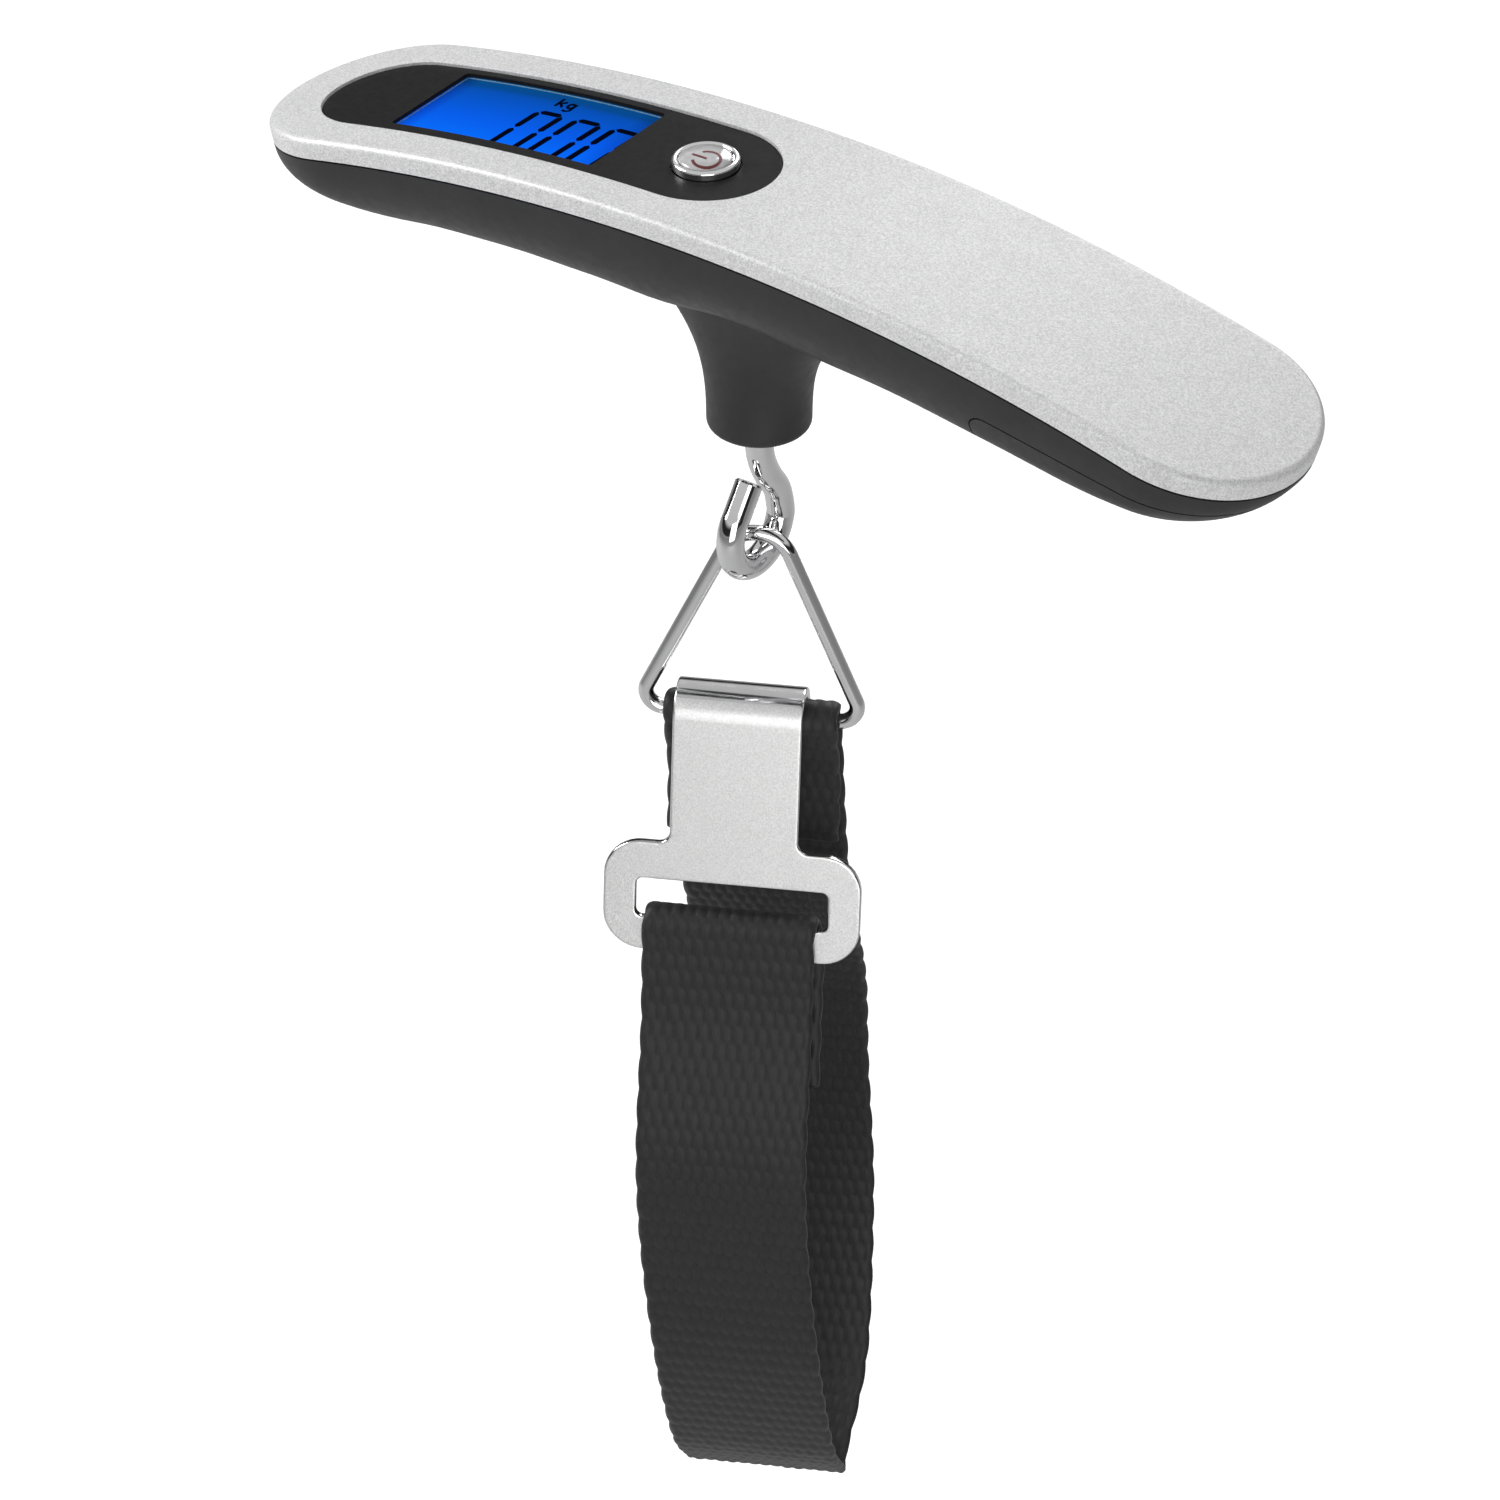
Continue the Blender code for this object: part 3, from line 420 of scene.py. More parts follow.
def offset(outline, distance):
    """A closed outline moved inwards by a distance that is small beside its corners."""
    points = np.array(outline)
    ahead = np.roll(points, -1, axis=0) - points
    area = np.sum(points[:, 0] * np.roll(points[:, 1], -1) - np.roll(points[:, 0], -1) * points[:, 1])
    ahead /= np.linalg.norm(ahead, axis=1)[:, None]
    behind = np.roll(ahead, 1, axis=0)
    inward = np.stack([-(ahead + behind)[:, 1], (ahead + behind)[:, 0]], axis=1)
    inward /= np.linalg.norm(inward, axis=1)[:, None]
    turn = np.sqrt(np.clip((1 + np.sum(ahead * behind, axis=1)) / 2, 0.25, 1))
    inward *= (np.sign(area) * distance / turn)[:, None]
    return [tuple(p) for p in points + inward]


def plate(outline, profile, holes=()):
    """A plate from one outline and any holes. The profile's (inset, height) levels go from its
    underside to its top, and a hole widens where the outline narrows."""
    shape = bmesh.new()
    low, high = [], []
    for loop, sign in [(outline, 1)] + [(hole, -1) for hole in holes]:
        rings = []
        for inset, height in profile:
            ring = [shape.verts.new((x, y, height)) for x, y in offset(loop, sign * inset)]
            rings.append(ring)
        for a, b in zip(rings, rings[1:]):
            for k in range(len(a)):
                j = (k + 1) % len(a)
                shape.faces.new((a[k], a[j], b[j], b[k]))
        low.append(rings[0])
        high.append(rings[-1])
    for rings in (low, high):
        edges = []
        for ring in rings:
            for a, b in zip(ring, ring[1:] + ring[:1]):
                edges.append(shape.edges.get((a, b)))
        bmesh.ops.triangle_fill(shape, use_beauty=True, edges=edges)
    return shape


def slice_along(shape, axis, stations):
    """Cuts every face at the stations, so that the shape can be bent."""
    normal = [0.0, 0.0, 0.0]
    normal[axis] = 1.0
    for station in stations:
        point = [0.0, 0.0, 0.0]
        point[axis] = station
        whole = list(shape.verts) + list(shape.edges) + list(shape.faces)
        bmesh.ops.bisect_plane(shape, geom=whole, dist=1e-7, plane_co=point, plane_no=normal)
    return shape


def edge_profile(low, high, radius, steps=5):
    """Levels of a plate whose two edges are rounded, with a narrow support ring on each face."""
    quarter = [k * math.pi / 2 / steps for k in range(steps + 1)]
    down = [(radius * (1 - math.sin(a)), low + radius * (1 - math.cos(a))) for a in quarter]
    up = [(radius * (1 - math.cos(a)), high - radius * (1 - math.sin(a))) for a in quarter]
    return [(radius * 1.6, low)] + down + up + [(radius * 1.6, high)]


def smooth_path(points, steps):
    """Points on a smooth curve through the given ones, with a number of steps in each stretch."""
    knots = [Vector(p) for p in points]
    ends = [2 * knots[0] - knots[1]] + knots + [2 * knots[-1] - knots[-2]]
    path = []
    for before, a, b, after in zip(ends, ends[1:], ends[2:], ends[3:]):
        for k in range(steps):
            t = k / steps
            path.append(0.5 * (
                2 * a + (b - before) * t + (2 * before - 5 * a + 4 * b - after) * t**2
                + (3 * a - before - 3 * b + after) * t**3
            ))
    return path + [knots[-1]]


def tube(shape, path, radius, sides=24, cyclic=False, chamfer=0.0, start_normal=(1, 0, 0)):
    """Adds a round wire along a path in one plane or near it, with chamfered flat ends."""
    points = [Vector(p) for p in path]
    count = len(points)
    stations = [(p, radius) for p in points]
    tangents = []
    for i in range(count):
        before = points[i - 1] if cyclic or i else points[0]
        after = points[(i + 1) % count] if cyclic or i < count - 1 else points[-1]
        tangents.append((after - before).normalized())
    if chamfer:
        for i, sign in ((0, 1), (-1, -1)):
            stations[i] = (points[i] + tangents[i] * chamfer * sign, radius)
        stations = [(points[0], radius - chamfer)] + stations + [(points[-1], radius - chamfer)]
        tangents = [tangents[0]] + tangents + [tangents[-1]]
    normal = Vector(start_normal)
    rings = []
    for (point, reach), tangent in zip(stations, tangents):
        normal = (normal - tangent * normal.dot(tangent)).normalized()
        other = tangent.cross(normal)
        ring = []
        for k in range(sides):
            a = 2 * math.pi * k / sides
            ring.append(shape.verts.new(point + (normal * math.cos(a) + other * math.sin(a)) * reach))
        rings.append(ring)
    pairs = list(zip(rings, rings[1:])) + ([(rings[-1], rings[0])] if cyclic else [])
    for a, b in pairs:
        for k in range(sides):
            j = (k + 1) % sides
            shape.faces.new((a[k], a[j], b[j], b[k]))
    if not cyclic:
        shape.faces.new(rings[0][::-1])
        shape.faces.new(rings[-1])
    return shape


# The handle's arch


def bend(u, v, depth):
    angle = u / ARCH_RADIUS
    reach = ARCH_RADIUS - depth
    x = ARCH_APEX_X + reach * math.sin(angle)
    z = COVER_RIM - ARCH_RADIUS + reach * math.cos(angle)
    return Vector((x, v, z))


def bend_shape(shape):
    """Bends a flat shape in (u, v, height) onto the arch."""
    for vert in shape.verts:
        vert.co = bend(vert.co.x, vert.co.y, -vert.co.z)
    return shape


def on_arch(u, v=0.0):
    return Matrix.Translation(bend(u, v, 0.0)) @ Matrix.Rotation(u / ARCH_RADIUS, 4, "Y")


def long_side(length, width, end, centre=0.0, inset=0.0, end_steps=30, pitch=0.0025):
    """One side of a long rounded outline, as (u, v) from tip to tip."""
    half_length = length / 2 - inset
    half_width = width / 2 - inset
    end = end - inset
    straight = half_length - end
    angles = [k * math.pi / 2 / end_steps for k in range(end_steps)]
    side = [(straight + end * math.cos(a), half_width * math.sin(a)) for a in angles]
    steps = max(2, round(2 * straight / pitch))
    middle = [(straight * (1 - 2 * k / steps), half_width) for k in range(steps + 1)]
    other = [(-u, v) for u, v in reversed(side)]
    return [(centre - u, v) for u, v in side + middle + other]


def long_outline(*sizes):
    side = long_side(*sizes)
    return side + [(u, -v) for u, v in reversed(side[1:-1])]


def ladder(rings):
    """A solid from rings of (u, v, depth) on one side, mirrored in v and bent to the arch."""
    shape = bmesh.new()
    sides = [
        [[shape.verts.new(bend(u, sign * v, depth)) for u, v, depth in ring] for ring in rings]
        for sign in (1, -1)
    ]
    for side in sides:
        for ring, other in zip(side, side[1:]):
            for k in range(len(ring) - 1):
                shape.faces.new((ring[k], ring[k + 1], other[k + 1], other[k]))
    for end in (0, -1):
        left, right = sides[0][end], sides[1][end]
        for k in range(len(left) - 1):
            shape.faces.new((left[k], left[k + 1], right[k + 1], right[k]))
    bmesh.ops.remove_doubles(shape, verts=shape.verts, dist=1e-6)
    bmesh.ops.dissolve_degenerate(shape, edges=shape.edges, dist=1e-7)
    return shape


def belly_depth(u, inset):
    """How far the lower shell hangs below the seam at u."""
    run = BELLY_DISPLAY_END if u < 0 else BELLY_BATTERY_END
    past = abs(u) - (HANDLE_LENGTH / 2 - run)
    part = min(max(past / (run - inset), 0.0), 1.0)
    full = BELLY_DEPTH + BELLY_TAPER * u - inset
    full += sum(height * math.exp(-(((u - at) / spread) ** 2)) for at, height, spread in BELLY_SWELLS)
    return full * (1 - part**BELLY_END_POWER) ** (1 / BELLY_END_POWER)


def belly(inset, rise, steps=26, end_steps=30, pitch=0.0025):
    """The lower shell's form, starting a little above or below the seam."""
    seam = COVER_RIM - rise
    outline = long_side(HANDLE_LENGTH, HANDLE_WIDTH, HANDLE_END, 0.0, inset, end_steps, pitch)
    rings = []
    if rise > 0:
        rings.append([(u, v, seam) for u, v in outline])
    for k in range(steps + 1):
        angle = k * math.pi / 2 / steps
        narrowing = abs(math.cos(angle)) ** (2 / BELLY_SECTION_POWER) if k < steps else 0.0
        drop = math.sin(angle) ** (2 / BELLY_SECTION_POWER)
        level = max(seam, COVER_RIM)
        rings.append([(u, v * narrowing, level + belly_depth(u, inset) * drop) for u, v in outline])
    return ladder(rings)


def boss_form(steps=16):
    """A turned stub that flares into the belly, more along the handle than across it."""
    outline = [(0, BOSS_BOTTOM), (BOSS_RADIUS - BOSS_FILLET - 0.0002, BOSS_BOTTOM)]
    for k in range(7):
        a = k * math.pi / 12
        reach = BOSS_RADIUS - BOSS_FILLET * (1 - math.sin(a))
        outline.append((reach, BOSS_BOTTOM + BOSS_FILLET * (1 - math.cos(a))))
    for k in range(1, steps + 1):
        height = BOSS_FILLET + (BOSS_TOP - BOSS_BOTTOM - BOSS_FILLET) * k / steps
        outline.append((BOSS_RADIUS + 1044 * height**3, BOSS_BOTTOM + height))
    outline.append((0, BOSS_TOP))
    shape = lathe(outline, 80)
    for vert in shape.verts:
        cube = max(vert.co.z - BOSS_BOTTOM, 0.0) ** 3
        vert.co.y *= (BOSS_RADIUS + 170 * cube) / (BOSS_RADIUS + 1044 * cube)
    return shape


def door_region(margin):
    """The space of the battery door, in the frame at the door's edge."""
    seam = -DOOR_SEAM_DEPTH + margin
    edge = -margin
    far, low = 0.060, -0.040  # well past the handle's end and below it
    corner = (edge, seam, DOOR_CORNER + margin)
    outline = rounded([(edge, low, 0), (far, low, 0), (far, seam, 0), corner], 14)
    shape = plate(outline, [(0.0, -0.030), (0.0, 0.030)])
    bmesh.ops.rotate(shape, verts=shape.verts, matrix=Matrix.Rotation(math.pi / 2, 3, "X"))
    return shape


def make_cover(material):
    outline = long_outline(HANDLE_LENGTH, HANDLE_WIDTH, HANDLE_END)
    recess = offset(long_outline(WINDOW_LENGTH, WINDOW_WIDTH, WINDOW_END, WINDOW_CENTRE), -0.00012)
    edge = 0.0010
    quarter = [k * math.pi / 14 for k in range(8)]
    shape = bmesh.new()
    rings = []
    levels = [(0.0, -COVER_RIM), (0.0, -COVER_RIM + 0.0002)]
    levels += [(edge * (1 - math.cos(a)), -edge * (1 - math.sin(a))) for a in quarter]
    levels.append((edge * 1.25, 0.0))
    for inset, height in levels:
        rings.append([shape.verts.new((x, y, height)) for x, y in offset(outline, inset)])
    hole = [(0.00034, 0.0), (0.00016, 0.0), (0.00005, -0.00005), (0.0, -0.00016), (0.0, -0.0013)]
    inner = []
    for grow, height in hole:
        inner.append([shape.verts.new((x, y, height)) for x, y in offset(recess, -grow)])
    for chain in (rings, inner):
        for a, b in zip(chain, chain[1:]):
            for k in range(len(a)):
                j = (k + 1) % len(a)
                shape.faces.new((a[k], a[j], b[j], b[k]))
    loops = [rings[-1], inner[0]]
    edges = [shape.edges.get((a, b)) for ring in loops for a, b in zip(ring, ring[1:] + ring[:1])]
    bmesh.ops.triangle_fill(shape, use_beauty=True, edges=edges)
    for ring in (inner[-1], rings[0]):
        edges = [shape.edges.get((a, b)) for a, b in zip(ring, ring[1:] + ring[:1])]
        bmesh.ops.triangle_fill(shape, use_beauty=True, edges=edges)
    slice_along(shape, 0, [-0.084 + 0.003 * k for k in range(57)])
    cover = add_piece("cover_skin", bend_shape(shape), material, angle=35)
    cavity = []
    for depth, inset in ((0.0020, WALL), (COVER_RIM + 0.001, WALL)):
        side = long_side(HANDLE_LENGTH, HANDLE_WIDTH, HANDLE_END, 0.0, inset, 16, 0.004)
        cavity.append([(u, v, depth) for u, v in side])
    boolean(cover, helper(ladder(cavity)), "DIFFERENCE")
    half_x, half_y = 0.0206, 0.0101
    outline = rounded_box((-half_x, half_x), (-half_y, half_y), 0.0005)
    aperture = plate(outline, [(0.0, -0.004), (0.0, -0.0008)])
    boolean(cover, helper(aperture, on_arch(-0.043)), "DIFFERENCE")
    boolean(cover, helper(disc(0.0049, -0.004, 0.002), on_arch(BUTTON_CENTRE)), "DIFFERENCE")
    finish_boolean(cover)
    stand_in(cover, "handle", ["top_cover"])


def finish_boolean(piece, angle=32):
    piece.data.shade_smooth()
    piece.data.set_sharp_from_angle(angle=math.radians(angle))
    weighted = piece.modifiers.new("even_normals", "WEIGHTED_NORMAL")
    weighted.keep_sharp = True
    weighted.weight = 80


def make_lower_shell(material):
    shell = add_piece("belly_skin", belly(0.0, -GAP), material)
    boolean(shell, helper(boss_form()), "UNION")
    cavity = helper(belly(WALL, 0.001, 8, 10, 0.006))
    for u, v in SHELL_SCREWS:
        boolean(cavity, helper(disc(0.0033, -0.030, -0.0073), on_arch(u, v)), "DIFFERENCE")
    boolean(shell, cavity, "DIFFERENCE")
    bore = [
        (0, BOSS_BOTTOM - 0.001), (0.0036, BOSS_BOTTOM - 0.001), (0.0036, BOSS_BOTTOM + 0.003),
        (0.0045, BOSS_BOTTOM + 0.003), (0.0045, -0.0121), (0, -0.0121),
    ]
    boolean(shell, helper(lathe(bore, 48)), "DIFFERENCE")
    boolean(shell, helper(door_region(0.00022), on_arch(DOOR_EDGE)), "DIFFERENCE")
    for u, v in SHELL_SCREWS:
        well = [(0, -0.030), (0.0025, -0.030), (0.0025, -0.0088), (0.0013, -0.0088)]
        well += [(0.0013, -0.006), (0, -0.006)]
        boolean(shell, helper(lathe(well, 32), on_arch(u, v)), "DIFFERENCE")
    finish_boolean(shell)
    stand_in(shell, "handle", ["bottom_shell"])
    door = add_piece("door_skin", belly(0.0, -GAP), material)
    boolean(door, helper(belly(WALL, 0.001, 8, 10, 0.006)), "DIFFERENCE")
    boolean(door, helper(door_region(0.0), on_arch(DOOR_EDGE)), "INTERSECT")
    catch = [(-0.003, -0.0152), (0.001, -0.0152), (0.001, -0.0172), (0.004, -0.0172)]
    catch += [(0.004, -0.0139), (-0.003, -0.0139)]
    tongue = plate(catch, [(0.0, -0.005), (0.0, 0.005)])
    bmesh.ops.rotate(tongue, verts=tongue.verts, matrix=Matrix.Rotation(math.pi / 2, 3, "X"))
    boolean(door, helper(tongue, on_arch(DOOR_EDGE)), "UNION")
    finish_boolean(door)
    stand_in(door, "door", ["battery_door"])


# Display and button


def make_window(material):
    outline = long_outline(WINDOW_LENGTH, WINDOW_WIDTH, WINDOW_END, WINDOW_CENTRE)
    u, v, length, width = SCREEN
    opening = rounded_box((u - length / 2, u + length / 2), (v - width / 2, v + width / 2), 0.0005)
    hole = [
        (BUTTON_CENTRE + 0.0049 * math.cos(a), 0.0049 * math.sin(a))
        for a in (2 * math.pi * k / 72 for k in range(72))
    ]
    shape = plate(outline, edge_profile(-0.0010, -WINDOW_TOP, 0.00008, 2), [opening, hole])
    slice_along(shape, 0, [-0.078 + 0.003 * k for k in range(26)])
    window = add_piece("window_plate", bend_shape(shape), material, angle=35)
    finish_boolean(window)
    stand_in(window, "handle", ["display_window"])


SEGMENTS = {
    "top": ((0.0, 1.0), (1.0, 1.0)),
    "bottom": ((0.0, 0.0), (1.0, 0.0)),
    "left_high": ((0.0, 0.5), (0.0, 1.0)),
    "left_low": ((0.0, 0.0), (0.0, 0.5)),
    "right_high": ((1.0, 0.5), (1.0, 1.0)),
    "right_low": ((1.0, 0.0), (1.0, 0.5)),
    "middle": ((0.0, 0.5), (1.0, 0.5)),
}


def bar(start, end, width, gap):
    """A display segment: a bar with pointed ends."""
    a, b = Vector(start), Vector(end)
    along = (b - a).normalized()
    across = Vector((-along.y, along.x)) * width / 2
    a = a + along * gap
    b = b - along * gap
    nose = along * width / 2
    corners = (a, a + nose - across, b - nose - across, b, b - nose + across, a + nose + across)
    return [tuple(corner) for corner in corners]


def add_outline(shape, outline, low, high):
    """Adds a thin flat prism to a shape, from an outline that is convex."""
    rings = [[shape.verts.new((x, y, z)) for x, y in outline] for z in (low, high)]
    for k in range(len(outline)):
        j = (k + 1) % len(outline)
        shape.faces.new((rings[0][k], rings[0][j], rings[1][j], rings[1][k]))
    shape.faces.new(rings[0][::-1])
    shape.faces.new(rings[1])


def stroke(shape, points, width, low, high):
    """Adds a flat line of even width along an open run of points."""
    path = [Vector(p) for p in points]
    rings = []
    for i, p in enumerate(path):
        along = (path[min(i + 1, len(path) - 1)] - path[max(i - 1, 0)]).normalized()
        across = Vector((-along.y, along.x)) * width / 2
        left, right = p + across, p - across
        section = ((left, low), (right, low), (right, high), (left, high))
        rings.append([shape.verts.new((*q, z)) for q, z in section])
    for a, b in zip(rings, rings[1:]):
        for k in range(4):
            j = (k + 1) % 4
            shape.faces.new((a[k], a[j], b[j], b[k]))
    shape.faces.new(rings[0])
    shape.faces.new(rings[-1][::-1])


def make_display(glow, ink, lip):
    u, v, length, width = SCREEN
    outline = rounded_box((u - length / 2 - 0.001, u + length / 2 + 0.001), (v - 0.0094, v + 0.0091), 0.0004)
    shape = plate(outline, edge_profile(-0.0030, -0.00112, 0.0001, 2))
    slice_along(shape, 0, [u + 0.0025 * k for k in range(-8, 9)])
    screen = add_piece("lcd_screen", bend_shape(shape), glow)
    stand_in(screen, "handle", ["lcd_panel"])
    marks = bmesh.new()
    tall, wide, thick, slant = 0.0109, 0.0041, 0.00098, 0.04
    low, high = -0.00111, -0.00104
    for at in (-0.0437, -0.0370, -0.0304):
        for name, (start, end) in SEGMENTS.items():
            if name == "middle":
                continue
            points = [(at + wide * x + slant * tall * y, -0.0078 + tall * y) for x, y in (start, end)]
            add_outline(marks, bar(*points, thick, 0.00018), low, high)
    turns = [k * math.pi / 8 for k in range(17)]
    dot = [(-0.0381 + 0.0005 * math.cos(a), -0.0076 + 0.0005 * math.sin(a)) for a in turns[:-1]]
    add_outline(marks, dot, low, high)
    kilo = [[(0, 0), (0, 2.6)], [(1.3, 1.75), (0.05, 0.8)], [(0.45, 1.05), (1.35, 0)]]
    ring = [(2.65 + 0.55 * math.cos(a), 0.85 + 0.7 * math.sin(a)) for a in turns]
    tail = [(3.3, 1.6), (3.3, -0.6), (2.7, -1.0), (2.05, -0.75)]
    for line in kilo + [ring, tail]:
        points = [(-0.0424 + 0.00088 * x, 0.00545 + 0.00088 * y) for x, y in line]
        stroke(marks, points, 0.00042, low, high)
    digits = add_piece("lcd_marks", bend_shape(marks), ink)
    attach(digits, "handle")
    half_u, half_v = length / 2 - 0.0001, width / 2 - 0.0001
    rim = rounded_box((u - half_u, u + half_u), (v - half_v, v + half_v), 0.0004)
    shape = plate(rim, [(0.0, -0.00112), (0.0, -0.00104)], [offset(rim, 0.00016)])
    slice_along(shape, 0, [u + 0.0025 * k for k in range(-8, 9)])
    edge = add_piece("lcd_edge_line", bend_shape(shape), lip)
    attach(edge, "handle")


def make_button(metal, cap, ink):
    frame_at = on_arch(BUTTON_CENTRE)
    outer = 0.00472
    profile = [(0, -0.0034), (0.0016, -0.0034), (0.0016, -0.0030)]
    profile += [(0.0057, -0.0030), (0.0057, -0.0023), (outer, -0.0023)]
    for k in range(7):
        a = k * math.pi / 12
        profile.append((outer - 0.00045 * (1 - math.cos(a)), 0.0004 + 0.00045 * math.sin(a)))
    for k in range(7):
        a = k * math.pi / 12
        profile.append((0.0039 + 0.0003 * (1 - math.sin(a)), 0.00055 + 0.0003 * math.cos(a)))
    profile += [(0.0039, -0.0006), (0, -0.0006)]
    ring = add_piece("button_ring", lathe(profile, 96), metal, frame_at, 40)
    stand_in(ring, "button", ["power_button"])
    crown = [(0, -0.0003), (0.00372, -0.0003), (0.00372, 0.0006)]
    for k in range(1, 13):
        a = k * math.pi / 24
        crown.append((0.00372 * math.cos(a) ** 0.8, 0.0006 + 0.00078 * math.sin(a) ** 0.9))
    crown[-1] = (0, 0.00138)
    lens = add_piece("button_cap", lathe(crown, 96), cap, frame_at, 40)
    stand_in(lens, "button", ["button_lens"])
    marks = bmesh.new()
    radius = 0.0019
    turns = [math.radians(38 + 284 * k / 30) for k in range(31)]
    u, v = 0.0010, -0.0011
    arc = [(u - radius * math.cos(a), v + radius * math.sin(a)) for a in turns]
    stroke(marks, arc, 0.00042, 0.0, 0.00004)
    stroke(marks, [(u - 0.0024 + 0.0003 * k, v) for k in range(9)], 0.00042, 0.0, 0.00004)
    for vert in marks.verts:
        away = min(math.hypot(vert.co.x, vert.co.y) / 0.00372, 1.0)
        part = math.acos(min(away ** 1.25, 1.0))
        vert.co.z += 0.0006 + 0.00078 * math.sin(part) ** 0.9 - 0.00001
    symbol = add_piece("power_mark", marks, ink, frame_at)
    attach(symbol, "button")


# Hook, ring and buckle plate


def eye_point(degrees):
    angle = math.radians(degrees)
    y, z = EYE_CENTRE
    return Vector((0, y + EYE_RADIUS * math.cos(angle), z + EYE_RADIUS * math.sin(angle)))


def make_hook(material):
    points = [
        (0, 0, BOSS_BOTTOM + 0.010), (0, 0, BOSS_BOTTOM), (0, 0, BOSS_BOTTOM - 0.0035),
        (0, 0.0006, BOSS_BOTTOM - 0.0065), (0, 0.0021, BOSS_BOTTOM - 0.0097),
        (0, 0.0042, BOSS_BOTTOM - 0.0130),
    ]
    points += [eye_point(-k * 15) for k in range(16)] + [(0, -0.0023, BOSS_BOTTOM - 0.0086)]
    path = [Vector((0, 0, -0.0006))] + smooth_path(points, 6)
    shape = tube(bmesh.new(), path, WIRE, 36, chamfer=0.0003)
    hook = add_piece("hook_wire", shape, material, angle=40)
    stand_in(hook, "hook", ["hook"])


def make_ring(material):
    half = RING_HALF_WIDTH
    peak = RING_APEX
    for _ in range(30):  # the sharp corner that, once rounded, has its top at the apex
        flank = math.atan2(half, peak - RING_BAR)
        peak = RING_APEX + RING_APEX_BEND * (1 / math.sin(flank) - 1)
    corners = [(side + RING_SHIFT, RING_BAR, RING_CORNER_BEND) for side in (-half, half)]
    corners.append((0, peak, RING_APEX_BEND))
    path = [(x, 0, z) for x, z in rounded(corners, 14)]
    shape = tube(bmesh.new(), path, RING_WIRE, 28, True, start_normal=(0, 1, 0))
    ring = add_piece("ring_wire", shape, material, Matrix.Rotation(HANG_YAW, 4, "Z"), 40)
    stand_in(ring, "ring", ["triangle_ring"])


def plate_point(along, lift):
    """Maps a distance down the plate's face, and a height off it, to YZ: the plate curls over the bar."""
    middle = WEB_THICKNESS + RING_WIRE + 2 * GAP + PLATE_THICKNESS / 2
    tangent = math.pi - PLATE_LEAN
    angle = tangent + min(along, 0.0) / middle
    slide = max(along, 0.0)
    reach = middle + lift
    y = reach * math.cos(angle) - slide * math.sin(PLATE_LEAN)
    z = reach * math.sin(angle) - slide * math.cos(PLATE_LEAN)
    return Vector((0, y, RING_BAR + z))


def make_plate(material, polished):
    middle = WEB_THICKNESS + RING_WIRE + 2 * GAP + PLATE_THICKNESS / 2
    curl = middle * (math.pi - PLATE_LEAN - PLATE_CURL_END)
    neck = PLATE_NECK / 2
    half = PLATE_WIDTH / 2
    foot = -PLATE_LENGTH
    left = [(-neck, curl, 0.0015), (-neck, -PLATE_SHOULDER, 0.0017)]
    left += [(-half, -PLATE_SHOULDER, 0.0055), (-half, foot, 0.0058)]
    right = [(-x, y, radius) for x, y, radius in reversed(left)]
    slot_low = foot + PLATE_LOWER_BAR
    slot = rounded_box((-PLATE_SLOT[0] / 2, PLATE_SLOT[0] / 2), (slot_low, slot_low + PLATE_SLOT[1]), 0.001)
    levels = edge_profile(-PLATE_THICKNESS / 2, PLATE_THICKNESS / 2, 0.00028, 4)
    shape = plate(rounded(left + right), levels, [slot])
    slice_along(shape, 1, [curl * k / 36 for k in range(36)])
    slice_along(shape, 1, [-0.003 * k for k in range(1, 13)])
    for face in shape.faces:  # the curl and the rounded edges are polished, the flat faces satin
        face.normal_update()
        face.material_index = int(abs(face.normal.z) < 0.95 or face.calc_center_median().y > 0.0030)
    for vert in shape.verts:
        point = plate_point(-vert.co.y, vert.co.z)
        vert.co = Vector((vert.co.x + PLATE_SHIFT, point.y, point.z))
    buckle = add_piece("buckle_skin", shape, material, Matrix.Rotation(HANG_YAW, 4, "Z"), 40)
    buckle.data.materials.append(polished)
    finish_boolean(buckle, 40)
    stand_in(buckle, "buckle", ["buckle_plate"])


# Webbing


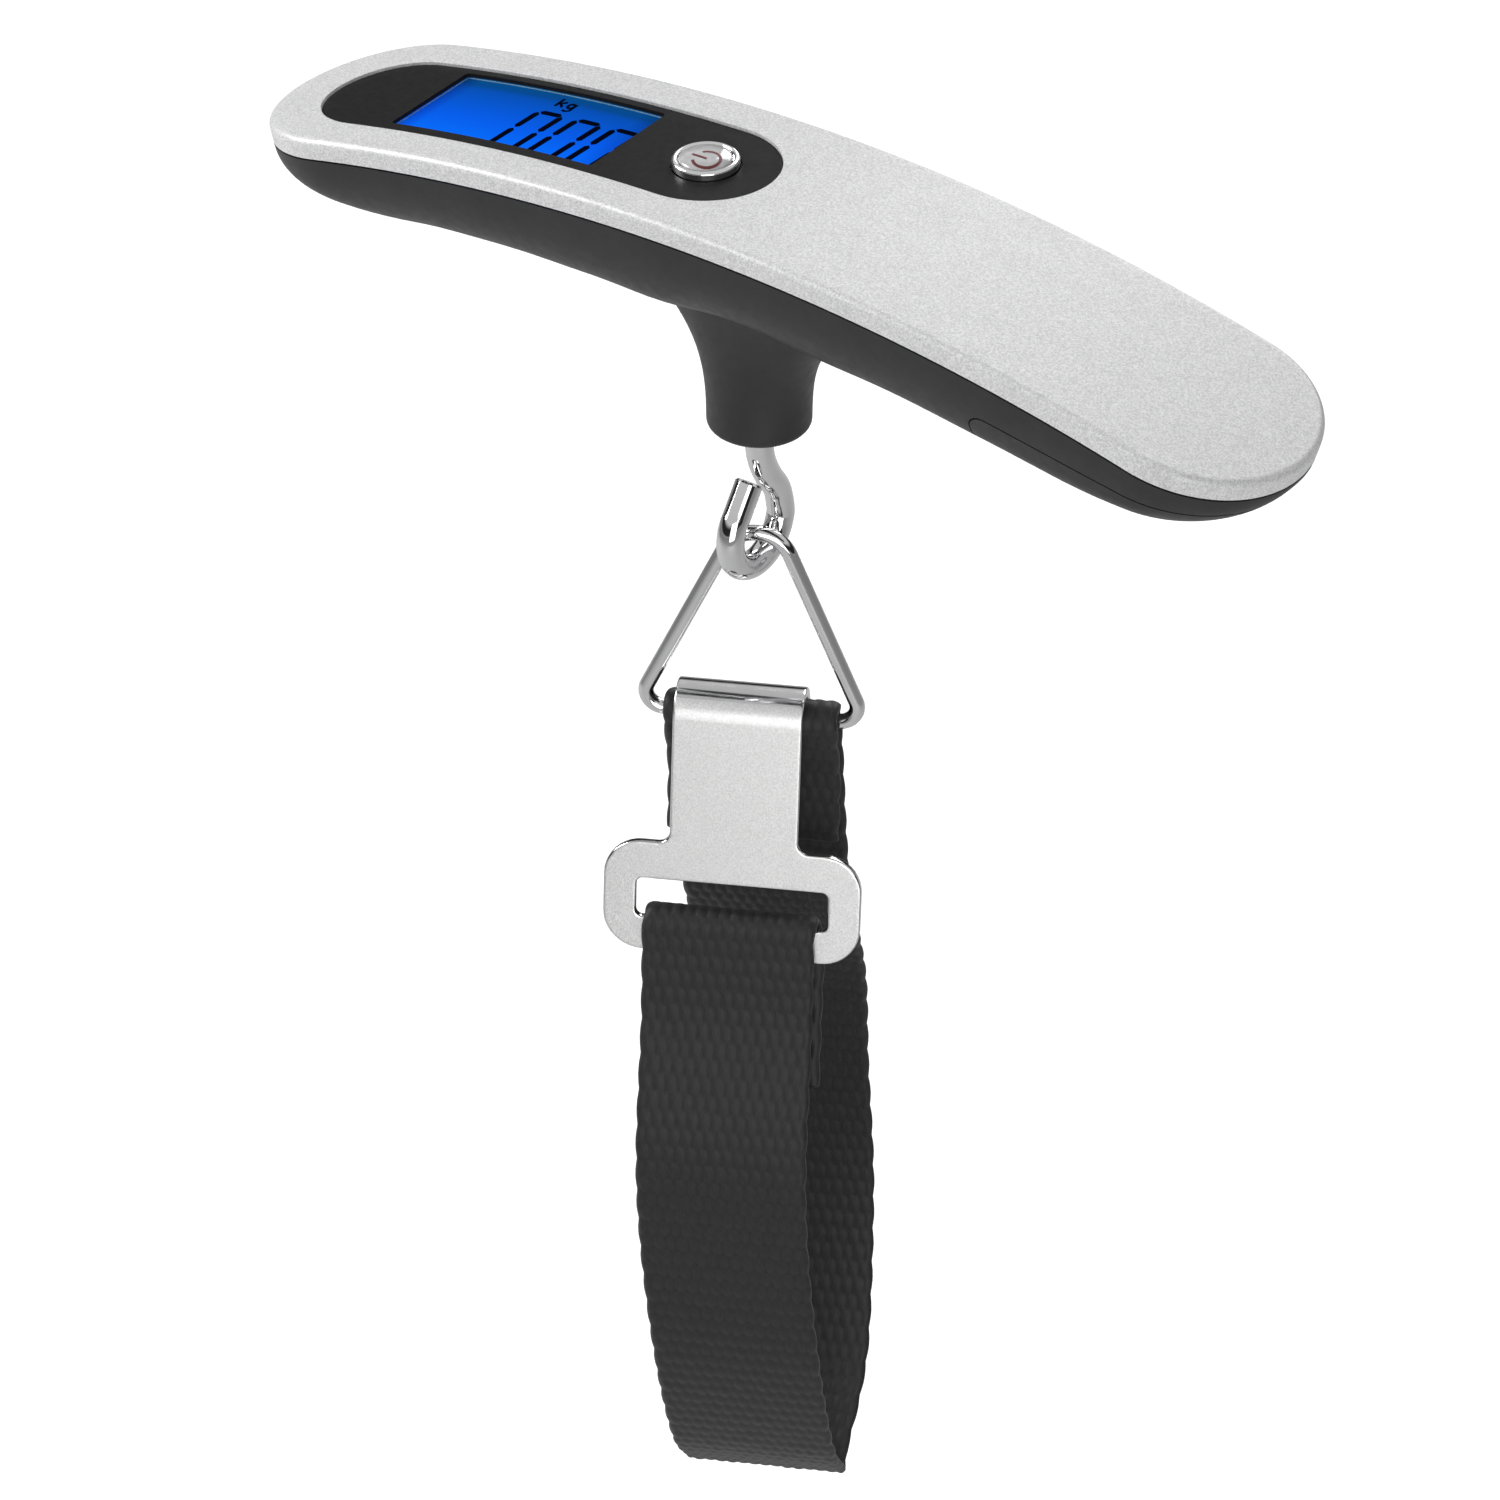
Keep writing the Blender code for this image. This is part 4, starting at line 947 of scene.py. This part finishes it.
def strap_route():
    """The webbing's centre line, from its end behind the plate round the loop to its other end."""
    radius = RING_WIRE + GAP + WEB_THICKNESS / 2
    start = [
        (-0.0009, 0.0001, RING_BAR - 0.021), (-0.0009, 0.0001, RING_BAR - 0.015),
        (-0.0009, 0.0001, RING_BAR - 0.010), (-0.0011, -0.0006, RING_BAR - 0.006),
    ]
    for k in range(9):
        angle = math.radians(190 - 190 * k / 8)
        start.append((-0.0012, radius * math.cos(angle), RING_BAR + radius * math.sin(angle)))
    rear = [
        (-0.0008, 0.0022, RING_BAR - 0.006), (0, 0.0026, RING_BAR - 0.020),
        (0.0005, 0.0062, BOSS_BOTTOM - 0.084), (0.0007, 0.0190, BOSS_BOTTOM - 0.108),
        (0.0008, LOOP_REACH, BOSS_BOTTOM - 0.128), (0.0026, 0.0208, BOSS_BOTTOM - 0.152),
        (0.0030, 0.0120, BOSS_BOTTOM - 0.176), (LOOP_SHIFT, 0.0021, LOOP_BOTTOM + 0.0014),
    ]
    fold = [
        (LOOP_SHIFT, 0.0008, LOOP_BOTTOM + 0.00005), (LOOP_SHIFT, 0.0, LOOP_BOTTOM - 0.00025),
        (LOOP_SHIFT, -0.0008, LOOP_BOTTOM + 0.00005), (LOOP_SHIFT, -0.0021, LOOP_BOTTOM + 0.0014),
    ]
    lower = plate_point(PLATE_LENGTH - PLATE_LOWER_BAR / 2, 0.0)
    half_bar = PLATE_LOWER_BAR / 2
    away = PLATE_THICKNESS / 2 + GAP + WEB_THICKNESS / 2
    top = lower.z + half_bar + GAP + WEB_THICKNESS / 2
    lean = math.tan(PLATE_LEAN)
    near, far, foot = lower.y - away, lower.y + away, lower.z - half_bar
    sewn_end = foot - 0.0185
    part = (foot - 0.010 - sewn_end) / (foot - 0.010 - (BOSS_BOTTOM - 0.112))
    stepped = near - PLY_STEP
    sewn_depth = stepped + part * (-FRONT_BOW - stepped) + WEB_THICKNESS + 0.0008
    front = [
        (0.0008, -0.0120, BOSS_BOTTOM - 0.176), (0, -0.0208, BOSS_BOTTOM - 0.152),
        (-0.0019, -LOOP_REACH, BOSS_BOTTOM - 0.128), (PLATE_SHIFT, -FRONT_BOW, BOSS_BOTTOM - 0.112),
    ]
    around = [
        (stepped, foot - 0.010), (near - half_bar * lean, foot),
        (near + half_bar * lean, lower.z + half_bar), (lower.y - 0.0002, top), (lower.y + 0.0008, top),
        (far + half_bar * lean, lower.z + half_bar), (far - half_bar * lean, foot),
        (stepped + WEB_THICKNESS + 0.0004, foot - 0.011),
        (sewn_depth, sewn_end),
    ]
    front += [(PLATE_SHIFT, y, z) for y, z in around]
    return np.array(smooth_path(start + rear + fold + front, 12))


def resample(line, step):
    """The line's points at an even spacing, with the distance run along it."""
    run = np.concatenate([[0], np.cumsum(np.linalg.norm(np.diff(line, axis=0), axis=1))])
    count = int(run[-1] / step)
    at = np.linspace(0, run[-1], count + 1)
    return at, np.stack([np.interp(at, run, line[:, k]) for k in range(3)], axis=1)


def weave_height(s, t, side, chance):
    """How far the yarns stand off the webbing's middle layer, at distances along and across it."""
    lift = 0.0
    for offset_row in (0, 1):  # every second row of knuckles sits half a pitch to the side
        across = t / WEAVE_COLUMN - offset_row / 2
        column = np.round(across)
        across = across - column
        phase = (s / WEAVE_ROW + offset_row + side) / 2
        row = np.round(phase)
        along = (phase - row) * 2
        vary = chance[(column.astype(int) + 40) % 64, (row.astype(int) + 500 + 256 * offset_row) % 512]
        arch = np.sqrt(np.clip(1 - (across / 0.52) ** 2, 0, 1))
        crest = np.cos(np.clip(along / 0.80, -1, 1) * math.pi / 2)
        lift = np.maximum(lift, 0.00034 * arch * crest * (0.80 + 0.35 * vary))
    return lift


def make_webbing(material):
    step = WEAVE_ROW / SAMPLES
    at, line = resample(strap_route(), step)
    ahead = np.gradient(line[:, 1:], axis=0)
    ahead /= np.linalg.norm(ahead, axis=1)[:, None]
    out = np.stack([ahead[:, 1], -ahead[:, 0]], axis=1)
    total = at[-1]
    columns = int(round(WEB_WIDTH / WEAVE_COLUMN * SAMPLES))
    t = np.linspace(-WEB_WIDTH / 2, WEB_WIDTH / 2, columns + 1)
    chance = np.random.default_rng(7).random((64, 512))
    bottom = int(np.argmin(line[:, 2]))
    split = bottom + 3
    turn = np.array([math.cos(HANG_YAW), math.sin(HANG_YAW)])
    for name, rows in (("webbing_rear", slice(0, split + 1)), ("webbing_front", slice(split, len(at)))):
        s = at[rows][:, None]
        centre, normal = line[rows], out[rows]
        edge = np.clip((np.abs(t) - (WEB_WIDTH / 2 - 0.0009)) / 0.0009, 0, 1)
        thin = np.sqrt(np.clip(1 - 0.9 * edge**2, 0, 1))[None, :]
        scallop = 0.00024 * (np.abs(np.cos(math.pi * s / WEAVE_ROW / 2 + math.pi / 4 * np.sign(t))) - 0.6)
        wander = 0.00025 * np.sin(s / 0.013) + 0.0012 * np.clip((s - (total - 0.030)) / 0.012, 0, 1)
        wander = wander + line[rows][:, :1]
        width = t[None, :] * (1 + scallop * np.abs(t)[None, :] ** 3 / (WEB_WIDTH / 2) ** 4) + wander
        layers = []
        weave = []
        for side in (0, 1):
            lift = weave_height(s + 0 * t[None, :], t[None, :] + 0 * s, side, chance)
            height = (0.00047 + lift) * thin
            layers.append(height if side == 0 else -height)
            weave.append(lift)
        order = [(0, j) for j in range(columns + 1)] + [(1, j) for j in range(columns, -1, -1)]
        around = len(order)
        count = len(centre)
        co = np.zeros((count, around, 3))
        cloth = np.zeros((count, around, 3))
        for k, (side, j) in enumerate(order):
            y = centre[:, 1] + normal[:, 0] * layers[side][:, j]
            z = centre[:, 2] + normal[:, 1] * layers[side][:, j]
            w = width[:, j]
            co[:, k] = np.stack([w * turn[0] - y * turn[1], w * turn[1] + y * turn[0], z], axis=1)
            # The weave attribute holds the position across, the run along and the yarns' lift; the lift
            # darkens the weave's valleys as painted shade in the webbing's material.
            cloth[:, k] = np.stack([t[j] + side * 0.1 + 0 * w, at[rows], weave[side][:, j]], axis=1)
        index = np.arange(count * around).reshape(count, around)
        a, b = index[:-1], index[1:]
        faces = np.stack([a, np.roll(a, -1, 1), np.roll(b, -1, 1), b], axis=-1).reshape(-1, 4)
        mesh = bpy.data.meshes.new(name)
        strips = []
        for cap, flip in ((index[0], True), (index[-1], False)):
            for k in range(columns):
                quad = [cap[k], cap[k + 1], cap[around - 2 - k], cap[around - 1 - k]]
                strips.append(quad if flip else quad[::-1])
        mesh.from_pydata(co.reshape(-1, 3), [], faces.tolist() + strips)
        attribute = mesh.attributes.new("weave", "FLOAT_VECTOR", "POINT")
        attribute.data.foreach_set("vector", cloth.reshape(-1).astype(np.float32))
        mesh.materials.append(material)
        mesh.shade_smooth()
        mesh.validate()
        shape = bmesh.new()
        shape.from_mesh(mesh)
        bmesh.ops.recalc_face_normals(shape, faces=shape.faces)
        shape.to_mesh(mesh)
        shape.free()
        piece = bpy.data.objects.new(name, mesh)
        bpy.context.scene.collection.objects.link(piece)
        if name == "webbing_rear":
            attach(piece, "strap")
            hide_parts("strap_rear_leg")
        else:
            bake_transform(piece)
            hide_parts("strap_front_leg")
    return at, line, out


def surface_point(route, s, t, lift):
    at, line, out = route
    x = t + float(np.interp(s, at, line[:, 0]))
    y, z = (float(np.interp(s, at, line[:, k + 1] + out[:, k] * lift)) for k in (0, 1))
    return Matrix.Rotation(HANG_YAW, 3, "Z") @ Vector((x, y, z))


def make_stitches(route, material, light):
    """Rows of bar tacks across both sewn ends."""
    at, line, _ = route
    bottom = int(np.argmin(line[:, 2]))
    chance = np.random.default_rng(11)

    def run_at(height, front):
        part = np.arange(bottom, len(at)) if front else np.arange(0, bottom)
        near = part[np.abs(line[part, 2] - height) < 0.0006]
        near = near[line[near, 1] < -0.012] if front else near[line[near, 1] > 0.0015]
        return float(at[near].mean())

    def tack(shape, s, t0, t1, count, lift):
        for k in range(count):
            t = t0 + (t1 - t0) * (k + 0.5) / count
            lean = 0.0006 * (1 if k % 2 else -1)
            half = abs(t1 - t0) / count * 0.62
            points = []
            for part in (-1.0, -0.7, 0.0, 0.7, 1.0):
                rise = lift - 0.00035 * part**4 + 0.00005 * chance.random()
                points.append(surface_point(route, s + lean * part, t + half * part, rise))
            tube(shape, points, 0.00013, 6, start_normal=(0, 0, 1))

    front = bmesh.new()
    for height in (-0.1375, -0.1382, -0.1455, -0.1462):
        tack(front, run_at(height, True), -0.0112, 0.0112, 11, 0.00085)
    piece = add_piece("bartack_front", front, material)
    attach(piece, "buckle")
    rear = bmesh.new()
    for height in (-0.1200, -0.1207):
        tack(rear, run_at(height, False), 0.0030, 0.0115, 6, -0.00085)
    piece = add_piece("bartack_rear", rear, light)
    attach(piece, "strap")


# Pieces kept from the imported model


def dress_inner_pieces():
    steel = plain("turned_steel", (0.56, 0.56, 0.57), 0.28, 1.0, 0.0012)
    coats = {
        steel: ["cell_screw_1", "cell_screw_2", "thrust_washer", "hook_nut", "coin_cell"]
        + [f"shell_screw_{k}" for k in (1, 2, 3, 4)],
        plain("milled_aluminium", (0.74, 0.75, 0.76), 0.36, 1.0, 0.0016): ["load_cell"],
        plain("gauge_film_amber", (0.50, 0.30, 0.08), 0.45, size=0.0008): ["gauge_upper", "gauge_lower"],
        plain("gilt_spring", (0.83, 0.60, 0.24), 0.28, 1.0, 0.0008): ["contact_negative", "contact_positive"],
        plain("solder_mask_green", (0.018, 0.14, 0.055), 0.38, size=0.0014, Coat_Weight=0.4): ["main_board"],
        plain("moulded_black", (0.018, 0.018, 0.019), 0.5, size=0.0015): [
            "controller_chip", "switch_body", "battery_tray"],
        plain("moulded_white", (0.74, 0.74, 0.70), 0.45, size=0.0018, Subsurface_Weight=0.05): [
            "lcd_frame", "switch_plunger", "hook_bush"],
        plain("light_guide_sheet", (0.72, 0.82, 0.92), 0.35, size=0.002): ["backlight"],
        plain("zebra_rubber", (0.30, 0.13, 0.09), 0.7, size=0.0005): ["contact_strip"],
        plain("white_sleeve", (0.68, 0.68, 0.66), 0.5, size=0.0008): ["gauge_lead"],
        plain("red_sleeve", (0.52, 0.02, 0.02), 0.45, size=0.0008): ["battery_lead"],
    }
    for material, names in coats.items():
        for name in names:
            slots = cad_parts[name].data.materials
            slots.clear()
            slots.append(material)


# Studio


def make_studio():
    scene = bpy.context.scene
    scene.view_settings.view_transform = "Standard"
    camera = bpy.data.cameras.new("camera")
    camera.lens = 154.45
    camera.sensor_width = 36.0
    camera.clip_start = 0.05
    camera.clip_end = 50.0
    turn, tip, distance = 0.62901, 0.61756, 0.92149
    right = Vector((math.cos(turn), math.sin(turn), 0))
    level = Vector((-math.sin(turn), math.cos(turn), 0))
    forward = level * math.cos(tip) - Vector((0, 0, math.sin(tip)))
    up = right.cross(forward)
    place = right * -0.001287 + Vector((0, 0, -0.09123)) - forward * distance
    view = bpy.data.objects.new("camera", camera)
    axes = Matrix((right, up, -forward)).transposed()
    view.matrix_world = Matrix.Translation(place) @ axes.to_4x4()
    scene.collection.objects.link(view)
    scene.camera = view

    world = bpy.data.worlds.new("studio")
    world.use_nodes = True
    scene.world = world
    nodes, links = world.node_tree.nodes, world.node_tree.links
    direction = nodes.new("ShaderNodeTexCoord")
    split = nodes.new("ShaderNodeSeparateXYZ")
    links.new(direction.outputs["Generated"], split.inputs["Vector"])
    spread = nodes.new("ShaderNodeMapRange")
    spread.inputs["From Min"].default_value = -0.2
    spread.inputs["From Max"].default_value = 1.0
    links.new(split.outputs["Z"], spread.inputs["Value"])
    ramp = nodes.new("ShaderNodeValToRGB")
    stops = ramp.color_ramp.elements
    stops[0].position, stops[0].color = 0.10, (0.62, 0.62, 0.62, 1)
    stops[1].position, stops[1].color = 1.0, (0.55, 0.55, 0.55, 1)
    for position, grey in ((0.17, 0.02), (0.36, 0.02), (0.50, 0.62)):
        stops.new(position).color = (grey, grey, grey, 1)
    links.new(spread.outputs["Result"], ramp.inputs["Fac"])
    links.new(ramp.outputs["Color"], nodes["Background"].inputs["Color"])
    nodes["Background"].inputs["Strength"].default_value = 1.0

    for name, spot, aim, size, power in (
        ("key", (-1.25, -0.45, 0.80), (0, 0, -0.05), 0.8, 25.0),
        ("fill", (0.85, -0.95, 0.10), (0, 0, -0.1), 0.9, 7.0),
        ("back", (-0.30, 1.3, 0.55), (0, 0.5, -0.50), 0.8, 8.0),
    ):
        light = bpy.data.lights.new(name, "AREA")
        light.shape = "SQUARE"
        light.size = size
        light.energy = power
        lamp = bpy.data.objects.new(name, light)
        lamp.location = spot
        lamp.rotation_euler = (Vector(aim) - Vector(spot)).to_track_quat("-Z", "Y").to_euler()
        scene.collection.objects.link(lamp)

    shape = bmesh.new()
    bmesh.ops.create_grid(shape, x_segments=1, y_segments=1, size=9.0)
    floor_paint = Surface("floor_paint", (0.93, 0.93, 0.93), 0.9)
    floor_paint.set(Specular_IOR_Level=0.0)
    kind = floor_paint.nodes.new("ShaderNodeLightPath")
    shades = [(0.0, (0.93, 0.93, 0.93)), (1.0, (0.42, 0.42, 0.42))]  # darker where metal mirrors it
    paint = floor_paint.ramp(kind.outputs["Is Glossy Ray"], shades)
    floor_paint.links.new(paint, floor_paint.shader.inputs["Base Color"])
    floor = add_piece("floor", shape, floor_paint.material, Matrix.Translation((0, 0, -0.55)))


HELPER = bpy.data.materials.new("helper")
chrome_wire = chrome("chrome_wire")
soft = soft_black()
make_studio()
make_cover(silver_paint())
make_lower_shell(soft)
make_window(window_black())
ink = plain("display_ink", (0.001, 0.002, 0.008), 0.6, size=0.001, Specular_IOR_Level=0.0)
line_ink = plain("display_edge", (0.16, 0.30, 0.42), 0.3, size=0.001)
make_display(screen_glow(), ink, line_ink)
cap = plain(
    "button_resin", (0.42, 0.40, 0.40), 0.12, size=0.0012,
    Coat_Weight=1.0, Coat_Roughness=0.04, Subsurface_Weight=0.1,
)
power_ink = plain("button_ink", (0.10, 0.012, 0.014), 0.4, size=0.0006)
make_button(chrome("button_chrome", 0.9, 0.08), cap, power_ink)
make_hook(chrome_wire)
make_ring(chrome_wire)
make_plate(satin_nickel(), chrome("polished_nickel", 0.74, 0.10))
route = make_webbing(webbing_fibre())
make_stitches(route, thread("black_thread", (0.022, 0.022, 0.023)), thread("grey_thread", (0.16, 0.16, 0.16)))
dress_inner_pieces()
bpy.data.materials.remove(HELPER)
